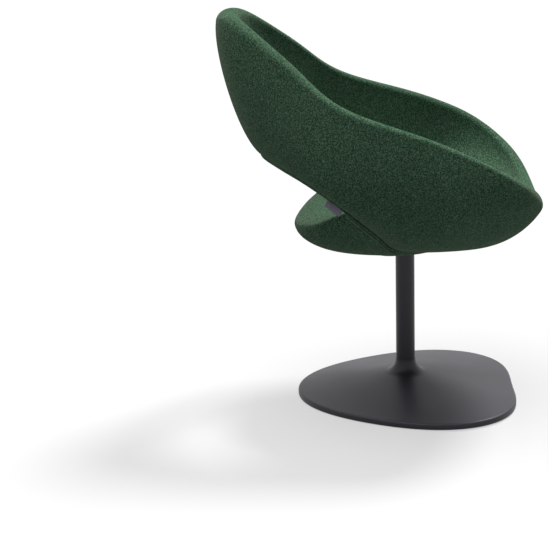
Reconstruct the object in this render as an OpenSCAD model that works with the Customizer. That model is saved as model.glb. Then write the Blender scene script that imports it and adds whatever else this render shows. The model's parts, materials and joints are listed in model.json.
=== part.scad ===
// Pedestal swivel armchair.
// Origin: on the floor, under the middle of the chair's outline. +Z is up, the front of the
// seat looks along -Y. The pieces are drawn about the swivel axis and then moved ahead.
// A moulded seat shell with a slot behind the seat is padded on both faces, covered in
// felt and turns on a fixed column that stands on a rounded three-cornered base.

/* [Seat shell] */
// Width over the rim crest of the arms
shell_w = 554; // [480:1:640]
// Depth that the rim spans, front to back
shell_d = 590; // [520:1:680]
// Height of the back's crest above the underside of the seat
shell_h = 476; // [400:1:560]
// Height of the underside of the seat at the column
seat_under_z = 306; // [250:1:400]
// Radius that the rim is rounded to along the arms
rim_r = 12; // [9:0.5:16]
// Radius that the lower edge of the back is rounded to
edge_r = 12; // [10:0.5:16]
// Length of the handles that swell the outer and inner faces
belly = 100; // [80:1:120]
// Thickness of the moulded structural shell
core_t = 5; // [4:0.5:7]
// Thickness of the padding outside the structural shell
outer_foam_t = 4; // [3:0.5:6]
// Thickness of the lining between the structural shell and the seat
lining_t = 2; // [1.5:0.5:4]
// Thickness of the felt cover
cover_t = 2; // [1.5:0.1:3]

/* [Seat] */
// Radius of the opening round the column in the underside
under_hole_r = 60; // [52:1:70]
// Height of the seat's middle above the underside
seat_rise = 104; // [90:1:130]
// Radius of the seat pan beside and ahead of the column
pan_r = 96; // [88:1:100]
// How much further the seat pan reaches to the back
pan_back = 52; // [20:1:60]
// Thickness of the seat pan
pan_t = 10; // [8:0.5:15]
// How far the seat's edge draws in where the back parts from it
seat_tuck = 16; // [12:0.5:20]
// Radius of the steel swivel plate under the seat pan
plate_r = 80; // [70:1:82]
// Thickness of the steel swivel plate
plate_t = 6; // [4:0.5:8]
// Height of the swivel plate above the underside of the seat
plate_rise = 38; // [34:0.5:44]

/* [Base] */
// Mean radius of the base outline
base_r = 226; // [190:1:260]
// How far the three corners stand out of the mean radius
base_corner = 17.6; // [0:0.2:24]
// How far the outline is shifted to the front
base_shift = 18.3; // [0:0.1:30]
// Height of the base at its edge
base_edge_h = 14; // [10:0.5:20]
// Height of the top face where it meets the hub flare
base_crown_h = 44; // [34:0.5:60]
// Radius of the flare between the base and the column
flare_r = 30; // [20:1:40]
// Wall of the cast base
base_wall = 7; // [5:0.5:10]
// Radius of the base's rounded upper edge
base_edge_r = 4.5; // [3:0.5:6]
// Radius of the ballast plate
ballast_r = 160; // [140:1:165]
// Thickness of the ballast plate
ballast_t = 10; // [6:0.5:11]
// Thickness of the floor glides
glide_t = 4; // [3:0.5:5]
// Radius of the floor glides
glide_r = 11; // [8:0.5:14]
// Thread diameter of the ballast screws
ballast_screw_d = 6; // [5:1:8]

/* [Column] */
// Outer diameter of the column
column_d = 38; // [34:0.5:44]
// Wall of the column tube
column_wall = 2.5; // [2:0.1:4]
// Height of the column's top end above the floor
column_top_z = 322; // [270:1:420]
// Diameter of the turning spindle
spindle_d = 24; // [20:0.5:26]
// Length of the spindle inside the column
spindle_len = 150; // [120:1:180]
// Radius of the spindle's collar under the swivel plate
collar_r = 18; // [16:0.5:20]
// Length of the bushes inside the column
bush_len = 30; // [20:1:40]
// Thickness of the thrust washer and of the upper bush's flange
thrust_t = 3; // [2:0.5:4]
// Thread diameter of the bolt that holds the column to the base
base_bolt_d = 12; // [10:1:14]
// Thread diameter of the four swivel plate bolts
plate_bolt_d = 8; // [6:1:8]
// Radius of the circle that the plate bolts stand on
plate_bolt_circle_r = 42; // [38:1:46]

/* [Trim] */
// Length of the label tab along the edge of the back
tab_len = 34; // [20:1:50]
// Height of the label tab
tab_h = 14; // [8:1:16]
// Width of the zip that closes the cover under each arm
zip_w = 7; // [5:0.5:8]
// Thickness of the zips and of the label tab
tape_t = 1.2; // [0.8:0.1:1.6]
// Thickness of the cap that closes the opening round the column
cap_t = 2.5; // [2:0.1:4]

/* [Hidden] */

$fn = 96;
// Running clearance between a turning face and its seat
run_gap = 0.05;
// Clearance between pieces that are laid or bonded on each other
lay_gap = 0.35;
// Clearance between metal pieces that are fixed in each other
fit_gap = 0.05;
// Width of the seams where the zips sit, between the band's end and the seat
seam_gap = 3.4;
// Overrun of every cut past the face that it opens
cut = 1;

// Stations from the middle of the back (first) round one arm to the middle of the front
// (last). Each row of a place table holds shares of half the width, the depth and the height.
rim_shares = [[0, 0.578, 1], [0.332, 0.532, 0.979], [0.603, 0.378, 0.838],
    [0.819, 0.212, 0.676], [0.960, -0.073, 0.557], [1, -0.268, 0.447],
    [0.661, -0.392, 0.324], [0, -0.417, 0.214]];
// Lower edge of the back, then the seam under the arm, then the opening round the column
hem_shares = [[0, 0.463, 0.391], [0.311, 0.408, 0.378], [0.570, 0.315, 0.338],
    [0.718, 0.203, 0.252], [0.585, 0.100, 0.122], [0.404, 0.032, 0.034],
    [0.253, -0.119, 0.036], [0, -0.161, 0.021]];
// Crest of the seat: its free nose behind the back, then its sides inside the arms
seat_shares = [[0, 0.378, 0.116], [0.292, 0.356, 0.132], [0.538, 0.297, 0.172],
    [0.711, 0.198, 0.246], [0.776, 0.034, 0.250], [0.787, -0.153, 0.239],
    [0.542, -0.305, 0.218], [0, -0.356, 0.197]];
// Station at which the back parts from the seat
crotch_station = 3;
last_station = len(rim_shares) - 1;
// Sections built from each station to the next, with more of them beside the crotch
crotch_steps = 3;
station_steps = [for (k = [0:last_station - 1]) k == crotch_station ? crotch_steps : 2];
station_of = [for (k = [0:last_station - 1]) for (j = [0:station_steps[k] - 1])
    k + j / station_steps[k], last_station];
half_steps = len(station_of) - 1;
ring_n = 2 * half_steps;

// Shares of rim_r and of edge_r
rim_r_shares = [1.85, 1.5, 1.1, 1, 1, 1, 1.3, 1.85];
edge_r_shares = [1, 1, 1, 0.85, 0.5, 0.42, 0.35, 0.35];
// Shares of belly: outward and downward handles of the outer face at the rim,
// outward and upward handles at the hem
rim_out_shares = [0.08, 0.13, 0.16, 0.20, 0.21, 0.13, -0.11, -0.22];
rim_down_shares = [0.61, 0.80, 0.87, 0.91, 0.92, 0.85, 0.66, 0.22];
hem_out_shares = [0.36, 0.54, 0.57, 0.68, 0.90, 1.05, 1.04, 0.73];
hem_up_shares = [0.25, 0.23, 0.29, 0.26, 0.15, 0.07, -0.17, -0.07];
// Share of a quarter turn that the rim is rounded by on its inner side
inner_cap_shares = [1, 1, 1, 1, 1, 0.95, 0.7, 0.4];
// Shares of belly for the inner face
inner_down_shares = [0.90, 0.80, 0.70, 0.50, 0.50, 0.40, 0.20, 0.08];
inner_foot_out_shares = [0.05, 0.05, 0.05, 0.05, 0.10, 0.10, 0.20, 0.25];
inner_foot_up_shares = [0.60, 0.60, 0.50, 0.30, 0.30, 0.25, 0.10, 0.05];
// Part of the outer face that takes its upper rows, on the back and at least on the arms
back_share = 0.86;
side_share = 0.45;
// Seat: how much of its drop the underside makes at the nose, how far it then runs flat,
// how far it sags (share of belly), and the length and rise of the top face at its crest
under_drop_shares = [0.49, 0.52, 0.37, 0.27, 0.27, 0.30, 0.30, 0.30];
under_reach_shares = [0.59, 0.54, 0.44, 0.38, 0.38, 0.35, 0.35, 0.35];
under_sag_shares = [0.09, 0.09, 0.09, 0.10, 0.06, 0.02, 0, 0];
nose_in_shares = [0.50, 0.45, 0.40, 0.30, 0.60, 0.60, 0.50, 0.40];
nose_up_shares = [0.50, 0.45, 0.35, 0.05, -0.08, -0.08, -0.04, -0.02];
// Part of the nose, at the middle and at the crotch, that takes the rows of the seat's sides
nose_rows_shares = [0.34, 0.12];
// Share of the seat's side, near the crotch, that lies above its second row
first_share = 0.6;
// Middle of the seat, as a share of the depth ahead of the axis, and the share of the way
// to its crest over which the top face runs level
seat_middle_share = 0.05;
middle_flat_share = 0.4;

// Layers of the band, as depths under its outer surface
foam_depth = cover_t + lay_gap;
core_depth = foam_depth + outer_foam_t + lay_gap;
lining_depth = core_depth + core_t + lay_gap;
bowl_depth = lining_depth + lining_t + lay_gap + cover_t;

// Rows of points down the outer face and down the inner face
cap_rows = 2;
upper_rows = 7;
upper_last = cap_rows + upper_rows - 1;
hem_rows = 4;
outer_last = upper_last + hem_rows;
core_last = outer_last - 2;
tuck_rows = 2;
// Angle that the lower edge of the back is rounded by on its inner side
hem_turn = 76;
// Times that a search for a height halves its step
halvings = 12;
// Rows of the seat: rings of its top face, rows behind the band, rows that show below
top_rings = 5;
show_rows = 4;

up = [0, 0, 1];
// How far the swivel axis stands ahead of the middle of the chair's outline
axis_ahead = 47.5;
module on_axis() translate([0, -axis_ahead, 0]) children();

// Harmonics of the base outline beside its shift and its corners, as shares of base_r
outline_shares = [0, 0, -0.0106, 0, -0.0221, -0.0053];
outline_n = 60;
// Height of the casting's lower edge above the floor and its inset there
base_lift = 1.5;
base_toe = 2;
// Rim left round the column above the flare
flare_lip = 0.6;
// Hub of the casting, as shares of flare_r past the column: where the top face levels out,
// where the top wall ends inside the hub, and the web below it
hub_share = 0.947;
hub_in_share = 0.6;
web_share = 0.813;
web_drop = 2;
// Boss on the underside
boss_r = 24;
column_r = column_d / 2;
function hub_at(share) = column_r + flare_lip + share * flare_r;
hub_r = hub_at(hub_share);
flare_slope = atan((base_crown_h - base_edge_h) / (base_r - hub_r));
flare_steps = 10;
flare_z = base_crown_h + flare_r * cos(flare_slope);
tube_r = column_r - column_wall;
spindle_r = spindle_d / 2;
// Heads and washers, as shares of the thread diameter, for hexagons over the corners
head_h_share = 0.62;
head_r_share = 0.94;
washer_r_share = 1.1;
washer_t_share = 0.2;
ballast_z = glide_t;
screw_circle_r = 0.62 * ballast_r;
screw_n = 3;
screw_head_t = 2.5;
screw_boss_r = 9;
screw_reach = 8;
glide_circle_r = 0.9 * ballast_r;
glide_n = 6;
washer_t = washer_t_share * base_bolt_d;
bolt_head_h = head_h_share * base_bolt_d;
// Clear height between the floor and the head of the base bolt
bolt_lift = 4;
boss_z = bolt_lift + bolt_head_h + washer_t;
// Thickness of the boss under the column
boss_web_t = 6;
socket_z = boss_z + boss_web_t;
plug_h = 28;
// Thread of the plug that the bolt leaves free
bolt_spare = 4;
bolt_reach = plug_h - bolt_spare;
spindle_z = column_top_z - spindle_len;
// Groove of the retaining ring: height above the spindle's end, height, depth
groove_rise = 4;
groove_h = 2;
groove_depth = 1;
ring_reach = 3;
bush_rise = 3;
collar_z = column_top_z + 2 * thrust_t + run_gap;
plate_z = seat_under_z + plate_rise;
pan_z = plate_z + plate_t;
pan_tail_r = 60;
plate_bolt_n = 4;
plate_washer_t = washer_t_share * plate_bolt_d;
nut_barrel_r = 0.65 * plate_bolt_d;
nut_flange_r = 1.25 * plate_bolt_d;
nut_flange_t = 1.5;
cap_gap = 1.5;
cap_edge_gap = 2.5;
cap_edge_r = under_hole_r - cap_edge_gap;
// Stations between which the zips run, and sections of a zip
zip_from = 3.08;
zip_to = 4.75;
zip_steps = 10;
// Share of its length that the label tab keeps from the crotch
tab_from = 0.14;
// Clearance between the label tab and the cover
tab_gap = 0.6;

function mix(a, b, t) = a + (b - a) * t;
function unit(v) = norm(v) > 0 ? v / norm(v) : v;
function flat(v) = [v[0], v[1], 0];
function mirrored(v) = [-v[0], v[1], v[2]];

// Value of a table at place s between its stations, with the table mirrored past both
// ends: side is 1 where the mirrored values keep their sign and -1 where they change it
function at(tab, k, side) = k < 0 ? side * tab[-k]
    : k > last_station ? side * tab[2 * last_station - k] : tab[k];
function spline(a, b, c, d, f) = (2 * b + (c - a) * f + (2 * a - 5 * b + 4 * c - d) * f * f
    + (3 * b - a - 3 * c + d) * f * f * f) / 2;
function along(tab, s, side = 1) =
    let (k = min(floor(s), last_station - 1), f = s - k)
    spline(at(tab, k - 1, side), at(tab, k, side), at(tab, k + 1, side),
        at(tab, k + 2, side), f);
function column_of(tab, k) = [for (row = tab) row[k]];
function place(tab, s) = [along(column_of(tab, 0), s, -1) * shell_w / 2,
    along(column_of(tab, 1), s) * shell_d,
    along(column_of(tab, 2), s) * shell_h + seat_under_z];
function bezier(a, b, c, d, t) = a * (1 - t) * (1 - t) * (1 - t)
    + 3 * b * t * (1 - t) * (1 - t) + 3 * c * t * t * (1 - t) + d * t * t * t;

// Place on a curve that falls from a to d at which it reaches height z
function reach(a, b, c, d, z, from, to, n) = let (t = (from + to) / 2)
    n == 0 ? t : bezier(a, b, c, d, t)[2] > z ? reach(a, b, c, d, z, t, to, n - 1)
        : reach(a, b, c, d, z, from, t, n - 1);

// Round end of a wall: centre, radius, outward direction, angle from the top
function cap_point(c, r, out, a) = c + r * (out * sin(a) + up * cos(a));

// Crest of the seat, drawn in behind the band near the crotch
function seat_edge(s) = let (p = place(seat_shares, s))
    p - seat_tuck * max(0, 1 - abs(s - crotch_station)) * unit(flat(p));

// Outer face of the band at station s, from the rim crest to the hem
function outer_rows(s) =
    let (crest = place(rim_shares, s), hem = place(hem_shares, s),
        out = unit(flat(crest)), r = rim_r * along(rim_r_shares, s),
        e = edge_r * along(edge_r_shares, s), c = crest - up * r,
        top = c + out * r, foot = hem + e * (out + up),
        top_h = top + belly * (out * along(rim_out_shares, s)
            - up * along(rim_down_shares, s)),
        foot_h = foot + belly * (out * along(hem_out_shares, s)
            + up * along(hem_up_shares, s)),
        split = s > crotch_station ? max(side_share, reach(top, top_h, foot_h, foot,
            seat_edge(s)[2], 0, 1, halvings)) : back_share)
    concat([for (k = [0:cap_rows - 1]) cap_point(c, r, out, 90 * k / cap_rows)],
        [for (k = [0:upper_rows - 1])
            bezier(top, top_h, foot_h, foot, split * k / (upper_rows - 1))],
        [for (k = [1:hem_rows - 2])
            bezier(top, top_h, foot_h, foot, mix(split, 1, k / (hem_rows - 2)))],
        [for (a = [45, 90]) cap_point(hem + up * e, e, out, 90 + a)]);

// Inner face of the band at station s above the seat, or down to the hem of the back
function inner_rows(s) =
    let (crest = place(rim_shares, s), hem = place(hem_shares, s),
        out = unit(flat(crest)), r = rim_r * along(rim_r_shares, s),
        e = edge_r * along(edge_r_shares, s), c = crest - up * r,
        turn = 90 * along(inner_cap_shares, s), top = cap_point(c, r, out, -turn),
        foot = s > crotch_station ? seat_edge(s) : hem + e * (up - out),
        top_h = top - belly * along(inner_down_shares, s) * (up * sin(turn)
            + out * cos(turn)),
        foot_h = foot + belly * (out * along(inner_foot_out_shares, s)
            + up * along(inner_foot_up_shares, s)))
    concat([for (k = [0:cap_rows - 1]) cap_point(c, r, out, -turn * k / cap_rows)],
        [for (k = [0:upper_rows - 1])
            bezier(top, top_h, foot_h, foot, k / (upper_rows - 1))]);

// Rows of the inner face past the seat's crest: round the hem of the back, or down the
// bowl at an even depth under the outer face
function bowl_rows(s, normals, outer) =
    let (hem = place(hem_shares, s), e = edge_r * along(edge_r_shares, s),
        out = unit(flat(place(rim_shares, s))))
    s > crotch_station
    ? let (in = bowl_depth * normals[core_last],
        a = outer[upper_last + 1] - bowl_depth * normals[upper_last + 1],
        b = outer[core_last] - in, d = outer[outer_last] - in, side = [a, b, mix(b, d, 1 / 2), d],
        part = min(1, max(0, (crotch_steps * (s - crotch_station) - 1) / 2)))
        [for (k = [1:hem_rows]) mix(mix(seat_edge(s), d, row_share(k, hem_rows, first_share)),
            side[k - 1], part)]
    : [for (k = [1:hem_rows]) cap_point(hem + up * e, e, out, -90 - hem_turn * k / hem_rows)];

// Share of a stretch at which row k of n lies, where the first row lies at a given share
function row_share(k, n, first) = mix(first, 1, (k - 1) / (n - 1));

// A closed ring of sections from the ones of one half
function whole_ring(half) = [for (i = [0:ring_n - 1]) i <= half_steps ? half[i]
    : [for (p = half[ring_n - i]) mirrored(p)]];

// Outward normals of a ring of open rows
function ring_normals(grid) = let (n = len(grid), m = len(grid[0]))
    [for (i = [0:n - 1]) [for (j = [0:m - 1])
        unit(cross(grid[(i + 1) % n][j] - grid[(i + n - 1) % n][j],
            unit(grid[i][min(j + 1, m - 1)] - grid[i][j])
                + unit(grid[i][j] - grid[i][max(j - 1, 0)])))]];
function sunk(grid, normals, depth) = [for (i = [0:len(grid) - 1])
    [for (j = [0:len(grid[0]) - 1]) grid[i][j] - depth * normals[i][j]]];
function rows(grid, from, to) = [for (g = grid)
    [for (j = [from:from < to ? 1 : -1:to]) g[j]]];
function joined(a, b) = [for (i = [0:len(a) - 1]) concat(a[i], b[i])];

outer_grid = whole_ring([for (s = station_of) outer_rows(s)]);
inner_grid = whole_ring([for (s = station_of) inner_rows(s)]);
// The profile runs from the foot of the inner face over the rim to the hem
rim_grid = joined(rows(inner_grid, upper_last, 1), outer_grid);
rim_normals = ring_normals(rim_grid);
outer_normals = rows(rim_normals, upper_last, upper_last + outer_last);
bowl_grid = whole_ring([for (i = [0:half_steps])
    bowl_rows(station_of[i], outer_normals[i], outer_grid[i])]);
band_grid = joined(rows(bowl_grid, hem_rows - 1, 0), rim_grid);
band_normals = ring_normals(band_grid);
crest_row = hem_rows + upper_last;
// Sunk copies of the band's inner and outer face
function inner_sunk(depth) = rows(sunk(band_grid, band_normals, depth), crest_row, 0);
function outer_sunk(depth) = rows(sunk(band_grid, band_normals, depth), crest_row,
    crest_row + outer_last);

// The seat: rows of its underside at section i of a half, from its crest to the opening
function nose_share(s, k) = let (f = s / crotch_station, n = hem_rows + 1,
        part = mix(nose_rows_shares[0], nose_rows_shares[1], f))
    k == 0 ? 0 : k > n ? mix(part, 1, (k - n) / show_rows)
        : part * row_share(k, n, mix(1 / n, first_share, f));
function shown_under(s, from, ring, t) =
    let (out = unit(flat(from)), run = norm(flat(from) - flat(ring)))
    bezier(from, from - up * (from[2] - ring[2]) * along(under_drop_shares, s),
        ring + out * run * along(under_reach_shares, s)
            - up * belly * along(under_sag_shares, s), ring, t);
// Gap between the seat's side and the band: it opens towards the seam and the crotch
function side_gap(s, k) =
    mix(lay_gap, seam_gap, max(k / hem_rows, 1 - (s - crotch_station)));
function seat_crest(i) = let (s = station_of[i])
    s > crotch_station ? inner_grid[i][upper_last] + side_gap(s, 0) * band_normals[i][hem_rows]
    : seat_edge(s);
function under_ring(i) = let (s = station_of[i])
    unit(flat(s > crotch_station ? place(hem_shares, s) : place(seat_shares, s)))
        * under_hole_r + up * seat_under_z;
function under_rows(i) =
    let (s = station_of[i], crest = seat_crest(i), ring = under_ring(i),
        hem = place(hem_shares, s), off = seam_gap * unit(flat(hem)), side = bowl_grid[i],
        n = hem_rows + 1)
    s > crotch_station
    ? concat([crest], [for (k = [0:hem_rows - 2])
            side[k] + side_gap(s, k + 1) * band_normals[i][hem_rows - 1 - k]],
        [side[hem_rows - 1] - off],
        [for (k = [0:show_rows]) shown_under(s, hem - off, ring, k / show_rows)])
    : [for (k = [0:n + show_rows]) shown_under(s, crest, ring, nose_share(s, k))];
function top_rows(i) =
    let (s = station_of[i], crest = seat_crest(i), out = unit(flat(crest)),
        mid = seat_middle, h1 = mid + middle_flat_share * (flat(crest) - flat(mid)),
        h2 = crest - belly * (out * along(nose_in_shares, s)
            - up * along(nose_up_shares, s)))
    [for (k = [1:top_rings]) bezier(mid, h1, h2, crest, k / top_rings)];
seat_middle = [0, -seat_middle_share * shell_d, seat_under_z + seat_rise];

under_grid = whole_ring([for (i = [0:half_steps]) under_rows(i)]);
top_grid = whole_ring([for (i = [0:half_steps]) top_rows(i)]);
seat_grid = joined(rows(top_grid, 0, top_rings - 2), under_grid);
seat_normals = ring_normals(seat_grid);
function top_sunk(depth) = rows(sunk(seat_grid, seat_normals, depth), 0, top_rings - 1);
function under_sunk(depth) = rows(sunk(seat_grid, seat_normals, depth), top_rings - 1,
    len(seat_grid[0]) - 1);
function pole_sunk(depth) = seat_middle - up * depth;

// Closed solid from a ring of closed loops. Rows from the turn on run backwards, and their
// faces are split along the other diagonal, so that neighbouring sheets crease alike.
module ring_solid(loops, turn) {
    n = len(loops);
    m = len(loops[0]);
    polyhedron([for (loop = loops) each loop],
        [for (i = [0:n - 1]) for (j = [0:m - 1])
            let (a = i * m + j, b = i * m + (j + 1) % m,
                c = ((i + 1) % n) * m + (j + 1) % m, d = ((i + 1) % n) * m + j)
            each j < turn ? [[a, b, c], [a, c, d]] : [[a, b, d], [b, c, d]]]);
}

// Closed solid from a ring of open rows between two end points, with a turn as above
module pole_solid(first, grid, last, turn) {
    n = len(grid);
    m = len(grid[0]);
    polyhedron(concat([for (row = grid) each row], [first, last]),
        concat([for (i = [0:n - 1]) [n * m, i * m, ((i + 1) % n) * m]],
            [for (i = [0:n - 1]) for (j = [0:m - 2])
                let (a = i * m + j, b = a + 1, d = ((i + 1) % n) * m + j, c = d + 1)
                each j < turn ? [[a, b, c], [a, c, d]] : [[a, b, d], [b, c, d]]],
            [for (i = [0:n - 1]) [n * m + 1, ((i + 1) % n) * m + m - 1, i * m + m - 1]]));
}

// Sheet between two depths of the same rows
module sheet(near, far)
    ring_solid(joined(near, rows(far, len(far[0]) - 1, 0)), len(near[0]));

module outer_cover() color("darkgreen") on_axis()
    sheet(outer_sunk(0), outer_sunk(cover_t));

module inner_cover() color("seagreen") on_axis()
    ring_solid(joined(joined(rows(inner_sunk(0), 0, 0),
        rows(inner_sunk(cover_t), 0, upper_last + tuck_rows)),
        rows(inner_sunk(0), upper_last + tuck_rows, 1)), upper_last + tuck_rows + 2);

module outer_foam() color("wheat") on_axis()
    sheet(rows(outer_sunk(foam_depth), cap_rows, core_last),
        rows(outer_sunk(foam_depth + outer_foam_t), cap_rows, core_last));

module shell_core() color("burlywood") on_axis()
    sheet(rows(outer_sunk(core_depth), cap_rows, core_last),
        rows(outer_sunk(core_depth + core_t), cap_rows, core_last));

module inner_foam() color("khaki") on_axis()
    ring_solid(joined(joined(rows(outer_sunk(foam_depth), 0, cap_rows - 1),
        rows(outer_sunk(lining_depth), cap_rows, core_last)),
        joined(rows(outer_sunk(foam_depth), core_last + 1, outer_last),
            rows(inner_sunk(foam_depth), upper_last + hem_rows - 1, 1))), outer_last);

module seat_foam() color("khaki") on_axis() difference() {
    pole_solid(pole_sunk(foam_depth), joined(rows(top_sunk(foam_depth), 0, top_rings - 2),
        under_sunk(foam_depth)), up * seat_under_z, len(seat_grid[0]));
    bar(under_hole_r, seat_under_z - cut, plate_z);
    bar(plate_r + seam_gap, plate_z - seam_gap, pan_z + lay_gap);
    rod_stack(pan_z, pan_t + lay_gap) pan_outline(lay_gap);
    at_plate_bolts() bar(nut_flange_r + lay_gap, pan_z, pan_z + pan_t + nut_flange_t + lay_gap);
}

module seat_cover() color("seagreen") on_axis()
    pole_solid(pole_sunk(0), joined(top_sunk(0), rows(top_sunk(cover_t), top_rings - 1, 0)),
        pole_sunk(cover_t), top_rings);

module seat_under_cover() color("darkgreen") on_axis()
    sheet(under_sunk(0), under_sunk(cover_t));

// Round bar between two heights
module bar(r, z0, z1) translate([0, 0, z0]) cylinder(r = r, h = z1 - z0);
module rod_stack(z, h) translate([0, 0, z]) linear_extrude(h) children();
module pipe(r, hole, z0, z1) difference() {
    bar(r, z0, z1);
    bar(hole, z0 - cut, z1 + cut);
}
module around(n, r, first = 0)
    for (k = [0:n - 1]) rotate(first + 360 * k / n) translate([0, -r, 0]) children();
module at_plate_bolts() around(plate_bolt_n, plate_bolt_circle_r, 45) children();
module at_ballast_screws() around(screw_n, screw_circle_r, 60) children();

// Base outline at an angle from the front
function outline_r(a) = base_shift * cos(a) - base_corner * cos(3 * a)
    + base_r * (1 + outline_shares * [for (k = [0:len(outline_shares) - 1]) cos(k * a)]);
function roof_z(r, edge) = mix(base_crown_h, base_edge_h, (r - hub_r) / (edge - hub_r));
function base_loop(a) = let (r = outline_r(a), in = r - base_edge_r, c = base_edge_h - base_edge_r)
    [for (p = concat([[r - base_toe, base_lift], [r, base_lift + base_toe]],
        [for (k = [0:3]) [in + base_edge_r * cos(30 * k), c + base_edge_r * sin(30 * k)]],
        [[hub_r, base_crown_h], [hub_at(hub_in_share), base_crown_h],
            [hub_at(hub_in_share), base_crown_h - base_wall],
            [hub_r, base_crown_h - base_wall],
            [r - 2 * base_wall, roof_z(r - 2 * base_wall, r) - base_wall],
            [r - base_wall - base_toe, c / 2 + base_lift],
            [r - base_wall - base_toe, base_lift]]))
        [p[0] * sin(a), -p[0] * cos(a), p[1]]];

module base_casting() color("dimgray") on_axis() difference() {
    union() {
        ring_solid([for (k = [0:outline_n - 1]) base_loop(360 * k / outline_n)],
            len(base_loop(0)));
        rotate_extrude() polygon(concat([[0, boss_z], [boss_r, boss_z],
            [boss_r, base_crown_h - base_wall - web_drop],
            [hub_at(web_share), base_crown_h - base_wall - web_drop]],
            [for (k = [0:flare_steps]) let (a = 270 - 90 * k / flare_steps)
                [hub_at(1 + cos(a)), flare_z + flare_r * sin(a)]],
            [[0, flare_z]]));
        at_ballast_screws() bar(screw_boss_r, ballast_z + ballast_t,
            roof_z(screw_circle_r, base_r) - base_wall / 2);
    }
    bar(column_r + fit_gap, socket_z, flare_z + cut);
    bar(base_bolt_d / 2 + fit_gap, boss_z - cut, socket_z + cut);
    at_ballast_screws() bar(ballast_screw_d / 2 + fit_gap, ballast_z + ballast_t - cut,
        ballast_z + ballast_t + screw_reach + fit_gap);
}

module ballast_plate() color("gray") on_axis() difference() {
    pipe(ballast_r, boss_r + cap_gap, ballast_z, ballast_z + ballast_t - fit_gap);
    at_ballast_screws() bar(ballast_screw_d / 2 + fit_gap, ballast_z - cut,
        ballast_z + ballast_t + cut);
}

module ballast_screws() color("silver") on_axis() at_ballast_screws() {
    bar(ballast_screw_d, ballast_z - screw_head_t, ballast_z);
    bar(ballast_screw_d / 2, ballast_z - cut, ballast_z + ballast_t + screw_reach);
}

module floor_glides() color("black") on_axis()
    around(glide_n, glide_circle_r) bar(glide_r, 0, glide_t);

module column_tube() color("dimgray") on_axis() pipe(column_r, tube_r, socket_z, column_top_z);

module column_plug() color("gray") on_axis()
    pipe(tube_r - fit_gap, base_bolt_d / 2 + fit_gap, socket_z, socket_z + plug_h);

module column_bolt() color("silver") on_axis() {
    translate([0, 0, bolt_lift]) cylinder(r = head_r_share * base_bolt_d, h = bolt_head_h,
        $fn = 6);
    bar(base_bolt_d / 2, bolt_lift + bolt_head_h - cut, socket_z + bolt_reach);
}

module column_bolt_washer() color("silver") on_axis() pipe(washer_r_share * base_bolt_d,
    base_bolt_d / 2 + fit_gap, boss_z - washer_t, boss_z);

module lower_bush() color("ivory") on_axis() pipe(tube_r - fit_gap, spindle_r + run_gap,
    spindle_z + groove_rise + groove_h + bush_rise,
    spindle_z + groove_rise + groove_h + bush_rise + bush_len);

module upper_bush() color("ivory") on_axis() difference() {
    union() {
        bar(tube_r - fit_gap, column_top_z - bush_len, column_top_z + thrust_t);
        bar(column_r, column_top_z, column_top_z + thrust_t);
    }
    bar(spindle_r + run_gap, column_top_z - bush_len - cut, column_top_z + thrust_t + cut);
}

module thrust_washer() color("gold") on_axis() pipe(collar_r, spindle_r + run_gap,
    column_top_z + thrust_t, column_top_z + 2 * thrust_t);

module spindle() color("silver") on_axis() difference() {
    union() {
        bar(spindle_r, spindle_z, pan_z);
        bar(collar_r, collar_z, plate_z);
    }
    pipe(spindle_r + cut, spindle_r - groove_depth, spindle_z + groove_rise,
        spindle_z + groove_rise + groove_h);
}

module retaining_ring() color("silver") on_axis() pipe(spindle_r + ring_reach,
    spindle_r - groove_depth + fit_gap, spindle_z + groove_rise + fit_gap,
    spindle_z + groove_rise + groove_h - fit_gap);

module swivel_plate() color("dimgray") on_axis() difference() {
    pipe(plate_r, spindle_r + fit_gap, plate_z, pan_z);
    at_plate_bolts() bar(plate_bolt_d / 2 + fit_gap, plate_z - cut, pan_z + cut);
}

module plate_bolts() color("silver") on_axis() at_plate_bolts() {
    translate([0, 0, plate_z - plate_washer_t - head_h_share * plate_bolt_d])
        cylinder(r = head_r_share * plate_bolt_d, h = head_h_share * plate_bolt_d, $fn = 6);
    bar(plate_bolt_d / 2, plate_z - plate_washer_t - cut, pan_z + pan_t);
}

module plate_washers() color("silver") on_axis() at_plate_bolts()
    pipe(washer_r_share * plate_bolt_d, plate_bolt_d / 2 + fit_gap, plate_z - plate_washer_t,
        plate_z);

module pan_tee_nuts() color("silver") on_axis() at_plate_bolts() difference() {
    union() {
        bar(nut_barrel_r, pan_z, pan_z + pan_t + nut_flange_t);
        bar(nut_flange_r, pan_z + pan_t, pan_z + pan_t + nut_flange_t);
    }
    bar(plate_bolt_d / 2 + fit_gap, pan_z - cut, pan_z + pan_t + nut_flange_t + cut);
}

// Outline of the seat pan, grown by a clearance
module pan_outline(grow) {
    circle(r = pan_r + grow);
    translate([-pan_tail_r - grow, 0]) square([2 * (pan_tail_r + grow),
        pan_r + pan_back - pan_tail_r]);
    translate([0, pan_r + pan_back - pan_tail_r]) circle(r = pan_tail_r + grow);
}

module seat_pan() color("peru") on_axis() difference() {
    rod_stack(pan_z, pan_t) pan_outline(0);
    at_plate_bolts() bar(nut_barrel_r + fit_gap, pan_z - cut, pan_z + pan_t + cut);
}

module underside_cap() color("black") on_axis() difference() {
    bar(cap_edge_r, seat_under_z - cap_t, plate_z);
    bar(cap_edge_r - cap_t, seat_under_z, plate_z + cut);
    bar(column_r + cap_gap, seat_under_z - cap_t - cut, seat_under_z + cut);
}

// Zip tape across the corner between the hem and the seat's side
function zip_loop(s) = let (hem = place(hem_shares, s), out = unit(flat(hem)),
    c = hem + (out - 2 * up) * (tape_t + lay_gap) / 2, a = unit(out + up), b = unit(out - up))
    [for (p = [[-1, 0], [-1, 1], [1, 1], [1, 0]])
        c + a * p[0] * zip_w / 2 + b * (lay_gap + p[1] * tape_t)];

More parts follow.
